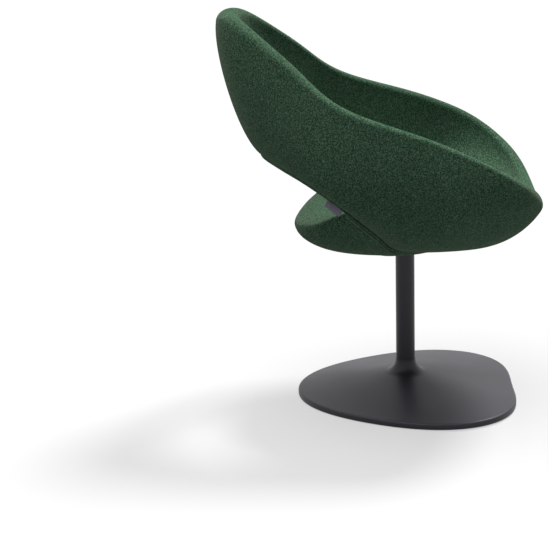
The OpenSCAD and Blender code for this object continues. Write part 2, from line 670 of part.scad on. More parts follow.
// Closed solid from a row of closed loops with flat ends
module bar_solid(loops) {
    n = len(loops);
    m = len(loops[0]);
    polyhedron([for (loop = loops) each loop],
        concat([[for (j = [0:m - 1]) j]],
            [for (i = [0:n - 2]) for (j = [0:m - 1])
                let (a = i * m + j, b = i * m + (j + 1) % m, c = b + m, d = a + m)
                each [[a, d, c], [a, c, b]]],
            [[for (j = [m - 1:-1:0]) (n - 1) * m + j]]));
}

// Label tab, hanging from the lower edge of the back just behind the crotch
module label_tab() color("plum") on_axis() mirror([1, 0, 0]) {
    i = len([for (s = station_of) if (s < crotch_station) s]);
    foot = outer_grid[i][outer_last];
    a = unit(outer_grid[i - 1][outer_last] - foot);
    b = unit(a * (a * up) - up);
    n = cross(a, b);
    p = foot + a * tab_from * tab_len + b * tab_gap - n * tape_t / 2;
    multmatrix([for (k = [0:2]) [a[k], b[k], n[k], p[k]]]) cube([tab_len, tab_h, tape_t]);
}

module side_zips() color("black") on_axis() for (side = [0, 1]) mirror([side, 0, 0])
    bar_solid([for (k = [0:zip_steps]) zip_loop(mix(zip_from, zip_to, k / zip_steps))]);

base_casting();
ballast_plate();
ballast_screws();
floor_glides();
column_tube();
column_plug();
column_bolt();
column_bolt_washer();
lower_bush();
upper_bush();
thrust_washer();
spindle();
retaining_ring();
swivel_plate();
plate_bolts();
plate_washers();
pan_tee_nuts();
seat_pan();
underside_cap();
side_zips();
label_tab();
outer_cover();
inner_cover();
outer_foam();
shell_core();
inner_foam();
seat_foam();
seat_cover();
seat_under_cover();
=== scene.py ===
"""Pedestal swivel armchair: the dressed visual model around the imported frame.

The frame's covers and foams are replaced by upholstery that follows the same curves on a
finer grid, the cast foot by a smoother one, and the trim by sewn details. Lengths are in
metres, and the seat looks along -Y. Every piece is drawn about the swivel axis and then
moved to the axis' place in the frame, whose origin lies under the middle of the outline.
"""

import json
import logging
import math
from collections.abc import Callable
from dataclasses import dataclass
from enum import Enum

import bpy
import numpy as np
from mathutils import Matrix, Vector
from mathutils.bvhtree import BVHTree
from mathutils.kdtree import KDTree


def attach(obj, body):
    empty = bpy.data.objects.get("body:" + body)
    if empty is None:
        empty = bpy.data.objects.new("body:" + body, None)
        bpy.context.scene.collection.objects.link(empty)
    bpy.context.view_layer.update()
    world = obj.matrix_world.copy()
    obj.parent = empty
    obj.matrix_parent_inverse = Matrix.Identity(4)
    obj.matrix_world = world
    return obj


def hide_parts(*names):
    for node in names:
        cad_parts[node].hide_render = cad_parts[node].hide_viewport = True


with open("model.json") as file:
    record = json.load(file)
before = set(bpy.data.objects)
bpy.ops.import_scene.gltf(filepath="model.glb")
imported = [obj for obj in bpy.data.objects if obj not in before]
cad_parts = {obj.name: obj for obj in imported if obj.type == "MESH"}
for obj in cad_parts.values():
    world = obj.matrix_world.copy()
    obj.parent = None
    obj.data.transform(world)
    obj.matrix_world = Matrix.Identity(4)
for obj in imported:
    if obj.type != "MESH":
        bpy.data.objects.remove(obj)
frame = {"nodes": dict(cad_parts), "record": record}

LOG = logging.getLogger("armchair")
Piece = bpy.types.Object
Socket = bpy.types.NodeSocket
UP = np.array([0.0, 0.0, 1.0])
AXIS = np.array([0.0, -0.0475, 0.0])
MIRROR = np.array([-1, 1, 1])
# Least divisor, distance under which points join, and distance within which they are found
TINY, MERGE, TOUCH = 1e-12, 1e-5, 2e-5
# Side of a primitive, or length of a step, that is replaced at once
SEED = 0.001


class Body(Enum):
    """Bodies of the frame that pieces ride on."""

    BASE = "base"
    SEAT = "seat"


class Slot(Enum):
    """Material slots of the frame's record."""

    PAINT = "base_paint"
    STEEL = "steel"
    RAW_STEEL = "raw_steel"
    PLASTIC = "plastic"
    BUSH = "bush"
    BRONZE = "bronze"
    PLY = "ply"
    SHELL = "shell"
    FELT = "felt"
    TAPE = "tape"
    LABEL = "label"


# Small tools for vectors and meshes


def unit(v: np.ndarray) -> np.ndarray:
    """Vectors of length 1 along the last axis."""
    return v / np.maximum(np.linalg.norm(v, axis=-1, keepdims=True), TINY)


def flat(v: np.ndarray) -> np.ndarray:
    """Vectors without their height."""
    return v * (1 - UP)


def smooth_step(x: np.ndarray) -> np.ndarray:
    """Soft ramp from 0 to 1 over the range 0 to 1."""
    t = np.clip(x, 0, 1)
    return t * t * (3 - 2 * t)


def bend(a: np.ndarray, b: np.ndarray, c: np.ndarray, t: np.ndarray) -> np.ndarray:
    """Points of a quadratic curve from a to c that is drawn towards b."""
    return a * (1 - t) ** 2 + 2 * b * t * (1 - t) + c * t**2


def bezier(a: np.ndarray, b: np.ndarray, c: np.ndarray, d: np.ndarray,
           t: np.ndarray) -> np.ndarray:
    """Points of many cubic curves.

    Args:
        a: Start points, one per section.
        b: First handles.
        c: Second handles.
        d: End points.
        t: Places on the curves, from 0 to 1.

    Returns:
        Array of sections by places by three.
    """
    w = t[None, :, None]
    a, b, c, d = (v[:, None] for v in (a, b, c, d))
    return a * (1 - w) ** 3 + 3 * b * w * (1 - w) ** 2 + 3 * c * w**2 * (1 - w) + d * w**3


def round_end(centre: np.ndarray, radius: np.ndarray, out: np.ndarray,
              angles: np.ndarray) -> np.ndarray:
    """Points of a wall's round end.

    Args:
        centre: Centres, one per section.
        radius: Radii, one per section.
        out: Outward directions, one per section.
        angles: Angles from the top in degrees, one per point or one row per section.

    Returns:
        Array of sections by points by three.
    """
    a = np.atleast_2d(np.radians(angles))[..., None]
    return centre[:, None] + radius[:, None, None] * (out[:, None] * np.sin(a) + UP * np.cos(a))


def sheet_normals(grid: np.ndarray) -> np.ndarray:
    """Outward directions of a closed ring of open rows."""
    around = np.roll(grid, -1, 0) - np.roll(grid, 1, 0)
    return unit(np.cross(around, np.gradient(grid, axis=1)))


class Route:
    """Line of points that is measured along itself."""

    def __init__(self, points: np.ndarray) -> None:
        """Measures the line.

        Args:
            points: Its points in order.
        """
        self.points = points
        steps = np.linalg.norm(np.diff(points, axis=0), axis=1)
        self.run = np.concatenate([[0], np.cumsum(steps)])

    def at(self, lengths: float | np.ndarray) -> np.ndarray:
        """Points at one or more lengths from the start."""
        return np.stack([np.interp(lengths, self.run, self.points[:, k]) for k in range(3)], -1)


def ring_faces(sections: int, rows: int, closed_rows: bool) -> list:
    """Faces of a closed ring of sections.

    Args:
        sections: Number of sections.
        rows: Number of points in a section.
        closed_rows: Whether the last row joins the first.

    Returns:
        Lists of four point numbers, in the order of the sections.
    """
    i = np.arange(sections)[:, None]
    j = np.arange(rows if closed_rows else rows - 1)[None]
    after, below = (i + 1) % sections, (j + 1) % rows
    corners = [i * rows + j, i * rows + below, after * rows + below, after * rows + j]
    return np.stack(corners, -1).reshape(-1, 4).tolist()


def turned(face: list) -> list:
    """Face seen from its other side, with the same first point."""
    return [face[0], *face[:0:-1]]


def strip_faces(sections: int, rows: int) -> list:
    """Faces of a closed strip: its sides and a cap at each end."""
    start, end = list(range(rows)), list(range((sections - 1) * rows, sections * rows))
    return ring_faces(sections, rows, True)[:-rows] + [turned(start), end]


def mesh_object(name: str, points: np.ndarray, faces: list,
                smooth: bool = True) -> Piece:
    """Object at the origin whose place is in its mesh.

    Args:
        name: Name of the piece.
        points: Points in metres, measured from the swivel axis.
        faces: Lists of point numbers.
        smooth: Whether its faces are shaded smooth.

    Returns:
        The linked object.
    """
    mesh = bpy.data.meshes.new(name)
    mesh.from_pydata((points.reshape(-1, 3) + AXIS).tolist(), [], faces)
    mesh.update()
    mesh.polygons.foreach_set("use_smooth", [smooth] * len(mesh.polygons))
    piece = bpy.data.objects.new(name, mesh)
    bpy.context.scene.collection.objects.link(piece)
    return piece


def twin_strips(name: str, loops: np.ndarray, smooth: bool) -> Piece:
    """Closed strip and its mirror image as one piece.

    Args:
        name: Name of the piece.
        loops: Sections by rows by three, on the chair's +X side.
        smooth: Whether its faces are shaded smooth.

    Returns:
        The linked object.
    """
    sections, rows = loops.shape[:2]
    strip = strip_faces(sections, rows)
    other = [[v + sections * rows for v in turned(face)] for face in strip]
    return mesh_object(name, np.concatenate([loops, loops * MIRROR]), strip + other, smooth)


def points_of(mesh: bpy.types.Mesh) -> np.ndarray:
    """Points of a mesh.

    Args:
        mesh: The mesh.

    Returns:
        One row per point.
    """
    points = np.empty(3 * len(mesh.vertices), dtype=np.float32)
    mesh.vertices.foreach_get("co", points)
    return points.reshape(-1, 3).astype(float)


def select_only(piece: Piece) -> None:
    """Selects one piece and makes it the active one.

    Args:
        piece: The piece.
    """
    bpy.ops.object.select_all(action="DESELECT")
    piece.select_set(True)
    bpy.context.view_layer.objects.active = piece


def crisp(piece: Piece, angle: float) -> Piece:
    """Turns a closed piece's faces outwards and keeps its sharp edges.

    Args:
        piece: The piece.
        angle: Angle in degrees under which edges are shaded smooth.

    Returns:
        The same piece.
    """
    select_only(piece)
    bpy.ops.object.mode_set(mode="EDIT")
    bpy.ops.mesh.select_all(action="SELECT")
    bpy.ops.mesh.normals_make_consistent(inside=False)
    bpy.ops.object.mode_set(mode="OBJECT")
    bpy.ops.object.shade_smooth_by_angle(angle=math.radians(angle))
    return piece


# Curves of the upholstery


@dataclass(frozen=True)
class StationTable:
    """Values at the stations from the middle of the back to the middle of the front.

    Attributes:
        values: One value per station of one half.
        side: 1 where the other half has the same values, -1 where they change sign.
        fine: Steps between two stations.
        softening: Width of the softening in stations.
    """

    values: tuple
    side: int = 1
    fine: int = 60
    softening: float = 0.16

    def along(self, places: np.ndarray) -> np.ndarray:
        """Values on a softened spline.

        Args:
            places: Places round the ring, from 0 to twice the last station.

        Returns:
            One value per place.
        """
        knots = 2 * (len(self.values) - 1)
        full = np.array(self.values + tuple(self.side * v for v in self.values[-2:0:-1]))
        s = np.arange(knots * self.fine) / self.fine
        k = s.astype(int)
        f = s - k
        a, b, c, d = (full[(k + o) % knots] for o in (-1, 0, 1, 2))
        curve = (2 * b + (c - a) * f + (2 * a - 5 * b + 4 * c - d) * f**2
                 + (3 * b - a - 3 * c + d) * f**3) / 2
        spread = self.softening * self.fine
        waves = np.fft.fftfreq(len(s))
        soft = np.fft.ifft(np.fft.fft(curve) * np.exp(-2 * (math.pi * waves * spread) ** 2)).real
        return np.interp(places % knots, np.append(s, knots), np.append(soft, soft[0]))


@dataclass
class ShellCurves:
    """Rim, lower edge and seat edge of the chair, shared by the band and the seat.

    Places round the ring count stations, from the middle of the back along one arm to the
    middle of the front, and back along the other arm.

    Attributes:
        height: Height of the back's crest above the underside.
        belly: Length of the handles that swell the faces.
        tuck: How far the seat's edge draws in where the back parts from it.
        crotch: Station where the back parts from the seat.
        last: Station at the middle of the front.
        landing: Stations before the crotch where the inner face starts to stand on the seat.
        landing_run: Stations that this takes.
        stretches: Start, end and number of sections of each stretch of one half.
        rim: Shares of half the width, the depth and the height, for the rim's crest.
        hem: The same for the lower edge.
        seat: The same for the seat's edge.
    """

    width: float = 0.554
    depth: float = 0.590
    height: float = 0.476
    under_z: float = 0.306
    rim_radius: float = 0.012
    edge_radius: float = 0.012
    belly: float = 0.100
    tuck: float = 0.009
    crotch: float = 3.0
    last: float = 7.0
    landing: float = 0.12
    landing_run: float = 0.34
    stretches: tuple = ((0, 2.5, 40), (2.5, 3.7, 40), (3.7, 7, 50))
    rim: tuple = ((0, 0.332, 0.603, 0.819, 0.960, 1, 0.661, 0),
                  (0.578, 0.532, 0.378, 0.212, -0.073, -0.268, -0.394, -0.424),
                  (1, 0.979, 0.838, 0.676, 0.557, 0.447, 0.324, 0.214))
    hem: tuple = ((0, 0.311, 0.570, 0.718, 0.585, 0.404, 0.253, 0),
                  (0.463, 0.408, 0.315, 0.203, 0.100, 0.032, -0.119, -0.161),
                  (0.391, 0.378, 0.338, 0.252, 0.122, 0.034, 0.036, 0.021))
    seat: tuple = ((0, 0.292, 0.538, 0.711, 0.776, 0.787, 0.542, 0),
                   (0.378, 0.356, 0.297, 0.198, 0.034, -0.153, -0.305, -0.356),
                   (0.116, 0.132, 0.172, 0.246, 0.250, 0.239, 0.218, 0.197))
    rim_size: StationTable = StationTable((1.85, 1.5, 1.1, 1, 1, 1, 1.25, 1.55))
    edge_size: StationTable = StationTable((1, 1, 1, 0.85, 0.5, 0.42, 0.35, 0.35))

    def sections(self) -> np.ndarray:
        """Places round the ring, closer together beside the two crotches."""
        half = np.concatenate([np.linspace(a, b, n, endpoint=False)
                               for a, b, n in self.stretches])
        return np.sort(np.concatenate([half, 2 * self.last - half[1:], [self.last]]))

    def folded(self, s: np.ndarray) -> np.ndarray:
        """Station on the first half that a place round the ring mirrors."""
        return np.where(s > self.last, 2 * self.last - s, s)

    def place(self, table: tuple, s: np.ndarray) -> np.ndarray:
        """Points of a place table.

        Args:
            table: Shares of half the width, the depth and the height.
            s: Places round the ring.

        Returns:
            One point per place.
        """
        x = StationTable(table[0], -1).along(s) * self.width / 2
        y = StationTable(table[1]).along(s) * self.depth
        z = StationTable(table[2]).along(s) * self.height + self.under_z
        return np.stack([x, y, z], -1)

    def outward(self, s: np.ndarray) -> np.ndarray:
        """Level directions away from the swivel axis, through the rim."""
        return unit(flat(self.place(self.rim, s)))

    def rim_radii(self, s: np.ndarray) -> np.ndarray:
        """Radii of the rim."""
        return self.rim_radius * self.rim_size.along(s)

    def edge_radii(self, s: np.ndarray) -> np.ndarray:
        """Radii of the lower edge."""
        return self.edge_radius * self.edge_size.along(s)

    def seat_edge(self, s: np.ndarray) -> np.ndarray:
        """Crest of the seat, drawn in behind the band near the crotch.

        Args:
            s: Places round the ring.

        Returns:
            One point per place.
        """
        p = self.place(self.seat, s)
        near = np.maximum(0, 1 - np.abs(self.folded(s) - self.crotch))
        return p - self.tuck * smooth_step(near)[:, None] * unit(flat(p))

    def on_seat(self, s: np.ndarray) -> np.ndarray:
        """1 where the band's inner face stands on the seat, 0 where it ends above the slot."""
        return smooth_step((self.folded(s) - self.crotch + self.landing) / self.landing_run)


@dataclass
class BandUpholstery:
    """Padded felt wall of the back and arms, one closed ring with a slot below the back."""

    curves: ShellCurves
    name: str = "band_upholstery"
    wall: float = 0.0140
    cap_rows: int = 9
    face_rows: int = 54
    low_rows: int = 16
    low_share: float = 0.9
    hem_rows: int = 13
    bowl_rows: int = 16
    bowl_turn: tuple = (-90, -176)
    foot_gap: float = 0.004
    least_rows: int = 4
    lap_width: float = 0.0065
    lap_rise: float = 0.0012
    lap_turn: float = 0.8
    lap_from: float = 0.05
    lap_from_run: float = 0.12
    lap_to: float = 5.2
    lap_to_run: float = 0.4
    groove_width: float = 0.0020
    groove_depth: float = 0.0030
    rim_out: StationTable = StationTable((0.08, 0.13, 0.16, 0.20, 0.21, 0.13, -0.11, -0.22))
    rim_down: StationTable = StationTable((0.61, 0.80, 0.87, 0.91, 0.92, 0.85, 0.66, 0.22))
    hem_out: StationTable = StationTable((0.36, 0.54, 0.57, 0.68, 0.90, 1.05, 1.04, 0.73))
    hem_up: StationTable = StationTable((0.25, 0.23, 0.29, 0.26, 0.15, 0.07, -0.17, -0.07))
    inner_turn: StationTable = StationTable((1, 1, 1, 1, 1, 0.95, 0.7, 0.4))
    inner_down: StationTable = StationTable((0.90, 0.80, 0.70, 0.50, 0.50, 0.40, 0.20, 0.08))
    foot_out: StationTable = StationTable((0.05, 0.05, 0.05, 0.05, 0.10, 0.10, 0.20, 0.25))
    foot_up: StationTable = StationTable((0.60, 0.60, 0.50, 0.30, 0.30, 0.25, 0.10, 0.05))

    def outer_rows(self, s: np.ndarray) -> np.ndarray:
        """Outer face from the rim crest to the underside of the hem.

        Args:
            s: Places round the ring.

        Returns:
            Array of sections by rows by three.
        """
        c = self.curves
        crest, hem, out = c.place(c.rim, s), c.place(c.hem, s), c.outward(s)
        r, e = c.rim_radii(s), c.edge_radii(s)
        middle = crest - UP * r[:, None]
        lean, down = self.rim_out.along(s), self.rim_down.along(s)
        # The rim turns past level where the face below it leans inwards
        turn = 90 + np.degrees(np.arctan2(np.maximum(0, -lean), down))[:, None]
        top = round_end(middle, r, out, turn)[:, 0]
        foot = hem + e[:, None] * (out + UP)
        top_h = top + c.belly * (out * lean[:, None] - UP * down[:, None])
        foot_h = foot + c.belly * (out * self.hem_out.along(s)[:, None]
                                   + UP * self.hem_up.along(s)[:, None])
        high = np.linspace(0, self.low_share, self.face_rows - self.low_rows, endpoint=False)
        t = np.concatenate([high, np.linspace(self.low_share, 1, self.low_rows)])
        cap = round_end(middle, r, out, turn * np.linspace(0, 1, self.cap_rows, endpoint=False))
        edge = round_end(hem + UP * e[:, None], e, out, np.linspace(90, 180, self.hem_rows)[1:])
        return np.concatenate([cap, bezier(top, top_h, foot_h, foot, t), edge], 1)

    def sewn(self, s: np.ndarray, outer: np.ndarray, normals: np.ndarray) -> np.ndarray:
        """Outer face with the lap that covers the zip, set off by a sewn groove.

        Args:
            s: Places round the ring.
            outer: Rows of the outer face.
            normals: Outward directions at those rows.

        Returns:
            The rows moved along their normals.
        """
        c = self.curves
        steps = np.linalg.norm(np.diff(outer, axis=1), axis=2)
        up_from_hem = np.concatenate([np.cumsum(steps[:, ::-1], 1)[:, ::-1],
                                      np.zeros((len(s), 1))], 1)
        line = (c.edge_radii(s) * self.lap_turn + self.lap_width)[:, None]
        station = c.folded(s)
        part = (smooth_step((station - c.crotch + self.lap_from) / self.lap_from_run)
                * smooth_step((self.lap_to - station) / self.lap_to_run))
        groove = np.exp(-((up_from_hem - line) / self.groove_width) ** 2)
        lap = smooth_step((line - up_from_hem) / self.groove_width)
        return outer + normals * (part[:, None] * (self.lap_rise * lap
                                                   - self.groove_depth * groove))[..., None]

    def inner_foot(self, s: np.ndarray) -> np.ndarray:
        """Lower end of the inner face: at the seat's edge, or above the hem of the back.

        Args:
            s: Places round the ring.

        Returns:
            One point per place.
        """
        c = self.curves
        part = c.on_seat(s)[:, None]
        free = c.place(c.hem, s) + c.edge_radii(s)[:, None] * (UP - c.outward(s))
        return (1 - part) * free + part * c.seat_edge(s)

    def inner_rows(self, s: np.ndarray) -> np.ndarray:
        """Inner face from just past the rim crest to its foot.

        Args:
            s: Places round the ring.

        Returns:
            Array of sections by rows by three.
        """
        c = self.curves
        crest, out, r = c.place(c.rim, s), c.outward(s), c.rim_radii(s)
        turn = 90 * self.inner_turn.along(s)[:, None]
        middle = crest - UP * r[:, None]
        top = round_end(middle, r, out, -turn)[:, 0]
        foot = self.inner_foot(s)
        top_h = top - c.belly * self.inner_down.along(s)[:, None] * (
            UP * np.sin(np.radians(turn)) + out * np.cos(np.radians(turn)))
        foot_h = foot + c.belly * (out * self.foot_out.along(s)[:, None]
                                   + UP * self.foot_up.along(s)[:, None])
        steps = np.linspace(0, 1, self.cap_rows, endpoint=False)[1:]
        cap = round_end(middle, r, out, -turn * steps)
        return np.concatenate([cap, bezier(top, top_h, foot_h, foot,
                                           np.linspace(0, 1, self.face_rows))], 1)

    def bowl_points(self, s: np.ndarray, outer: np.ndarray, normals: np.ndarray) -> np.ndarray:
        """Rows between the foot of the inner face and the underside of the hem.

        Args:
            s: Places round the ring.
            outer: Rows of the outer face.
            normals: Outward directions at those rows.

        Returns:
            Array of sections by rows by three.
        """
        c = self.curves
        e, foot = c.edge_radii(s), self.inner_foot(s)
        angles = np.linspace(*self.bowl_turn, self.bowl_rows + 1)[1:]
        round_hem = round_end(c.place(c.hem, s) + UP * e[:, None], e, c.outward(s), angles)
        sunk = outer - self.wall * normals
        latest = sunk.shape[1] - self.least_rows
        side = np.empty_like(round_hem)
        for i in range(len(s)):
            below = np.nonzero(sunk[i, :, 2] < foot[i, 2] - self.foot_gap)[0]
            start = min([*below[:1], latest])
            route = Route(np.concatenate([foot[i:i + 1], sunk[i, start:]]))
            side[i] = route.at(np.linspace(0, route.run[-1], self.bowl_rows + 1)[1:])
        part = c.on_seat(s)[:, None, None]
        return (1 - part) * round_hem + part * side

    def build(self) -> Piece:
        """The closed padded ring.

        Returns:
            The upholstery of the band.
        """
        s = self.curves.sections()
        outer, inner = self.outer_rows(s), self.inner_rows(s)
        normals = sheet_normals(outer)
        bowl = self.bowl_points(s, outer, normals)
        loops = np.concatenate([self.sewn(s, outer, normals), bowl[:, ::-1], inner[:, ::-1]], 1)
        return mesh_object(self.name, loops, ring_faces(len(s), loops.shape[1], True))


@dataclass
class SeatUpholstery:
    """Padded seat: its top, its free nose behind the back and the underside."""

    curves: ShellCurves
    band: BandUpholstery
    name: str = "seat_upholstery"
    hole_radius: float = 0.060
    hole_rise: float = 0.030
    rise: float = 0.104
    middle_ahead: float = 0.05
    level: float = 0.4
    seam: float = 0.0022
    held_run: float = 0.25
    lip: float = 0.018
    lip_rows: int = 12
    lip_after: float = 0.1
    lip_run: float = 0.8
    lap: float = 0.0016
    roll: float = 0.0032
    roll_back: float = 0.55
    roll_rise: float = 0.75
    nose_before: int = 5
    nose_after: int = 9
    nose_swell: float = 0.008
    nose_raise: float = 0.003
    top_rows: int = 40
    side_rows: int = 10
    under_rows: int = 44
    drop: StationTable = StationTable((0.49, 0.52, 0.37, 0.27, 0.27, 0.30, 0.30, 0.30))
    reach: StationTable = StationTable((0.59, 0.54, 0.44, 0.38, 0.38, 0.35, 0.35, 0.35))
    sag: StationTable = StationTable((0.09, 0.09, 0.09, 0.10, 0.06, 0.02, 0, 0))
    nose_in: StationTable = StationTable((0.50, 0.45, 0.40, 0.30, 0.60, 0.60, 0.50, 0.40))
    nose_up: StationTable = StationTable((0.50, 0.45, 0.35, 0.05, -0.08, -0.08, -0.04, -0.02))

    def middle(self) -> np.ndarray:
        """Middle of the top."""
        return np.array([0, -self.middle_ahead * self.curves.depth,
                         self.curves.under_z + self.rise])

    def seam_line(self, s: np.ndarray) -> np.ndarray:
        """Points where the underside meets the band's lower edge."""
        hem = self.curves.place(self.curves.hem, s)
        return hem - self.seam * unit(flat(hem))

    def top(self, s: np.ndarray) -> np.ndarray:
        """Top face from near the middle to the crest.

        Args:
            s: Places round the ring.

        Returns:
            Array of sections by rows by three.
        """
        crest = self.curves.seat_edge(s)
        mid = np.repeat(self.middle()[None], len(s), 0)
        first = mid + self.level * (flat(crest) - flat(mid))
        second = crest - self.curves.belly * (unit(flat(crest)) * self.nose_in.along(s)[:, None]
                                              - UP * self.nose_up.along(s)[:, None])
        return bezier(mid, first, second, crest, np.linspace(0, 1, self.top_rows + 1)[1:])

    def underside(self, start: np.ndarray, s: np.ndarray, t: np.ndarray) -> np.ndarray:
        """Underside from a start point to the opening round the column.

        Args:
            start: First points, one per section.
            s: Places round the ring.
            t: Places on the curve from 0 to 1.

        Returns:
            Array of sections by places by three.
        """
        c = self.curves
        behind = (c.folded(s) > c.crotch)[:, None]
        aim = np.where(behind, c.place(c.hem, s), c.place(c.seat, s))
        ring = unit(flat(aim)) * self.hole_radius + UP * c.under_z
        run = np.linalg.norm(flat(start) - flat(ring), axis=1)[:, None]
        first = start - UP * ((start[:, 2] - c.under_z) * self.drop.along(s))[:, None]
        second = (ring + unit(flat(start)) * run * self.reach.along(s)[:, None]
                  - UP * c.belly * self.sag.along(s)[:, None])
        return bezier(start, first, second, ring, t)

    def walled(self, s: np.ndarray) -> np.ndarray:
        """Rows from the crest down beside the band's foot and on under the seat.

        Args:
            s: Places round the ring.

        Returns:
            Array of sections by rows by three.
        """
        outer = self.band.outer_rows(s)
        bowl = self.band.bowl_points(s, outer, sheet_normals(outer))
        pick = np.linspace(0, bowl.shape[1] - 1, self.side_rows + 1)[1:].astype(int)
        out = unit(flat(self.curves.seat_edge(s)))[:, None]
        side = bowl[:, pick] - self.seam / 2 * out
        side[:, -1] = self.seam_line(s)
        under = self.underside(side[:, -1], s, np.linspace(0, 1, self.under_rows + 1))
        return np.concatenate([side, under[:, 1:]], 1)

    def rounded(self, grid: np.ndarray, part: np.ndarray) -> np.ndarray:
        """Rounds the free nose between the top face and the underside.

        Args:
            grid: Rows of the seat from its middle down to the opening.
            part: How much of the rounding each section gets.

        Returns:
            The grid with the rows beside its crest moved.
        """
        crest = self.top_rows - 1
        first, last = crest - self.nose_before, crest + self.nose_after
        t = np.linspace(0, 1, last - first + 1)[None, :, None]
        corner = (grid[:, crest] + self.nose_swell * unit(flat(grid[:, crest]))
                  + self.nose_raise * UP)
        curve = bend(grid[:, first, None], corner[:, None], grid[:, last, None], t)
        grid = grid.copy()
        w = part[:, None, None]
        grid[:, first:last + 1] = w * curve + (1 - w) * grid[:, first:last + 1]
        return grid

    def with_lip(self, grid: np.ndarray, s: np.ndarray) -> np.ndarray:
        """Raises the edge of the top into a soft hollow against the arms, with a rolled seam.

        Args:
            grid: Rows of the seat from its middle down to the opening.
            s: Places round the ring.

        Returns:
            The grid with its edge rows moved.
        """
        c = self.curves
        held = smooth_step((c.folded(s) - c.crotch - self.lip_after) / self.lip_run)
        inner = self.band.inner_rows(s)
        grid = grid.copy()
        last = self.top_rows - 1
        first = last - self.lip_rows
        t = np.linspace(0, 1, self.lip_rows - 1)[:, None]
        for i in np.nonzero(held > 0)[0]:
            end = Route(inner[i][::-1]).at(self.lip * held[i])
            out = unit(flat(grid[i, last]))
            proud = out * self.roll * held[i]
            grid[i, first:last - 1] = bend(grid[i, first].copy(), grid[i, last] - proud,
                                           end - proud, t)
            grid[i, last - 1] = (end - self.roll_back * proud
                                 + UP * self.roll * self.roll_rise * held[i])
            grid[i, last] = end + out * self.lap + UP * self.roll * held[i]
        return grid

    def build(self) -> Piece:
        """The closed seat body.

        Returns:
            The upholstery of the seat.
        """
        c, s = self.curves, self.curves.sections()
        held = smooth_step((c.folded(s) - c.crotch) / self.held_run)[:, None, None]
        t = np.linspace(0, 1, self.side_rows + self.under_rows + 1)
        nose = self.underside(c.seat_edge(s), s, t)[:, 1:]
        body = (1 - held) * nose + held * self.walled(s)
        grid = self.rounded(np.concatenate([self.top(s), body], 1), 1 - held[:, 0, 0])
        grid = self.with_lip(grid, s)
        n, m = grid.shape[:2]
        poles = [self.middle(), [0, 0, c.under_z + self.hole_rise]]
        faces = ring_faces(n, m, False)
        faces += [[n * m, i * m, (i + 1) % n * m] for i in range(n)]
        faces += [[n * m + 1, (i + 1) % n * m + m - 1, i * m + m - 1] for i in range(n)]
        return mesh_object(self.name, np.concatenate([grid.reshape(-1, 3), poles]), faces)


@dataclass(frozen=True)
class PadFilling:
    """Filling that swells a padded piece, by a short cloth run on a coarse copy of it.

    The piece is held within a distance of its neighbours and a radius round the swivel axis,
    and each of its points follows the nearest points of the copy.
    """

    voxel: float = 0.009
    pressure: float = 4.0
    frames: int = 20
    cap: float = 0.006
    hold: float = 0.014
    opening: float = 0.075
    nearest: int = 6

    def coarse(self, piece: Piece) -> Piece:
        """Copy of a piece with even faces.

        Args:
            piece: The padded piece.

        Returns:
            The copy, which the caller removes.
        """
        select_only(piece)
        bpy.ops.object.duplicate()
        copy = bpy.context.active_object
        remesh = copy.modifiers.new("even_faces", "REMESH")
        remesh.mode = "VOXEL"
        remesh.voxel_size = self.voxel
        bpy.ops.object.modifier_apply(modifier=remesh.name)
        return copy

    def swollen(self, copy: Piece, held: list) -> np.ndarray:
        """Moves of the copy's points after the cloth run, capped.

        Args:
            copy: The coarse copy.
            held: Numbers of the points that stay where they are.

        Returns:
            One move per point.
        """
        start = points_of(copy.data)
        copy.vertex_groups.new(name="held").add(held, 1.0, "REPLACE")
        cloth = copy.modifiers.new("filling", "CLOTH")
        cloth.settings.vertex_group_mass = "held"
        cloth.settings.use_pressure = True
        cloth.settings.uniform_pressure_force = self.pressure
        cloth.settings.effector_weights.gravity = 0
        cloth.point_cache.frame_start = 1
        cloth.point_cache.frame_end = self.frames
        for frame_number in range(1, self.frames + 1):
            bpy.context.scene.frame_set(frame_number)
        shaped = copy.evaluated_get(bpy.context.evaluated_depsgraph_get())
        move = points_of(shaped.data) - start
        bpy.context.scene.frame_set(1)
        size = np.linalg.norm(move, axis=1, keepdims=True)
        return move * (self.cap / (self.cap + size))

    def swell(self, piece: Piece, neighbours: tuple) -> None:
        """Moves a piece's points as the cloth run moves the nearest points of its copy.

        Args:
            piece: The padded piece.
            neighbours: Pieces beside which it is held.
        """
        copy = self.coarse(piece)
        walls = [BVHTree.FromObject(n, bpy.context.evaluated_depsgraph_get()) for n in neighbours]
        start = points_of(copy.data)
        held = [i for i, p in enumerate(start)
                if any(w.find_nearest(p, self.hold)[0] is not None for w in walls)
                or np.hypot(*(p - AXIS)[:2]) < self.opening]
        move = self.swollen(copy, held)
        tree = KDTree(len(start))
        for i, p in enumerate(start):
            tree.insert(p, i)
        tree.balance()
        points = points_of(piece.data)
        for i, p in enumerate(points):
            near = tree.find_n(p, self.nearest)
            part = np.array([1 / (d + self.voxel / 2) for _, _, d in near])
            points[i] += part @ move[[k for _, k, _ in near]] / part.sum()
        piece.data.vertices.foreach_set("co", points.ravel())
        piece.data.update()
        LOG.info("filled %s: %d of %d points held, furthest move %.1f mm", piece.name, len(held),
                 len(start), 1000 * np.linalg.norm(move, axis=1).max())
        bpy.data.objects.remove(copy)


# Trim


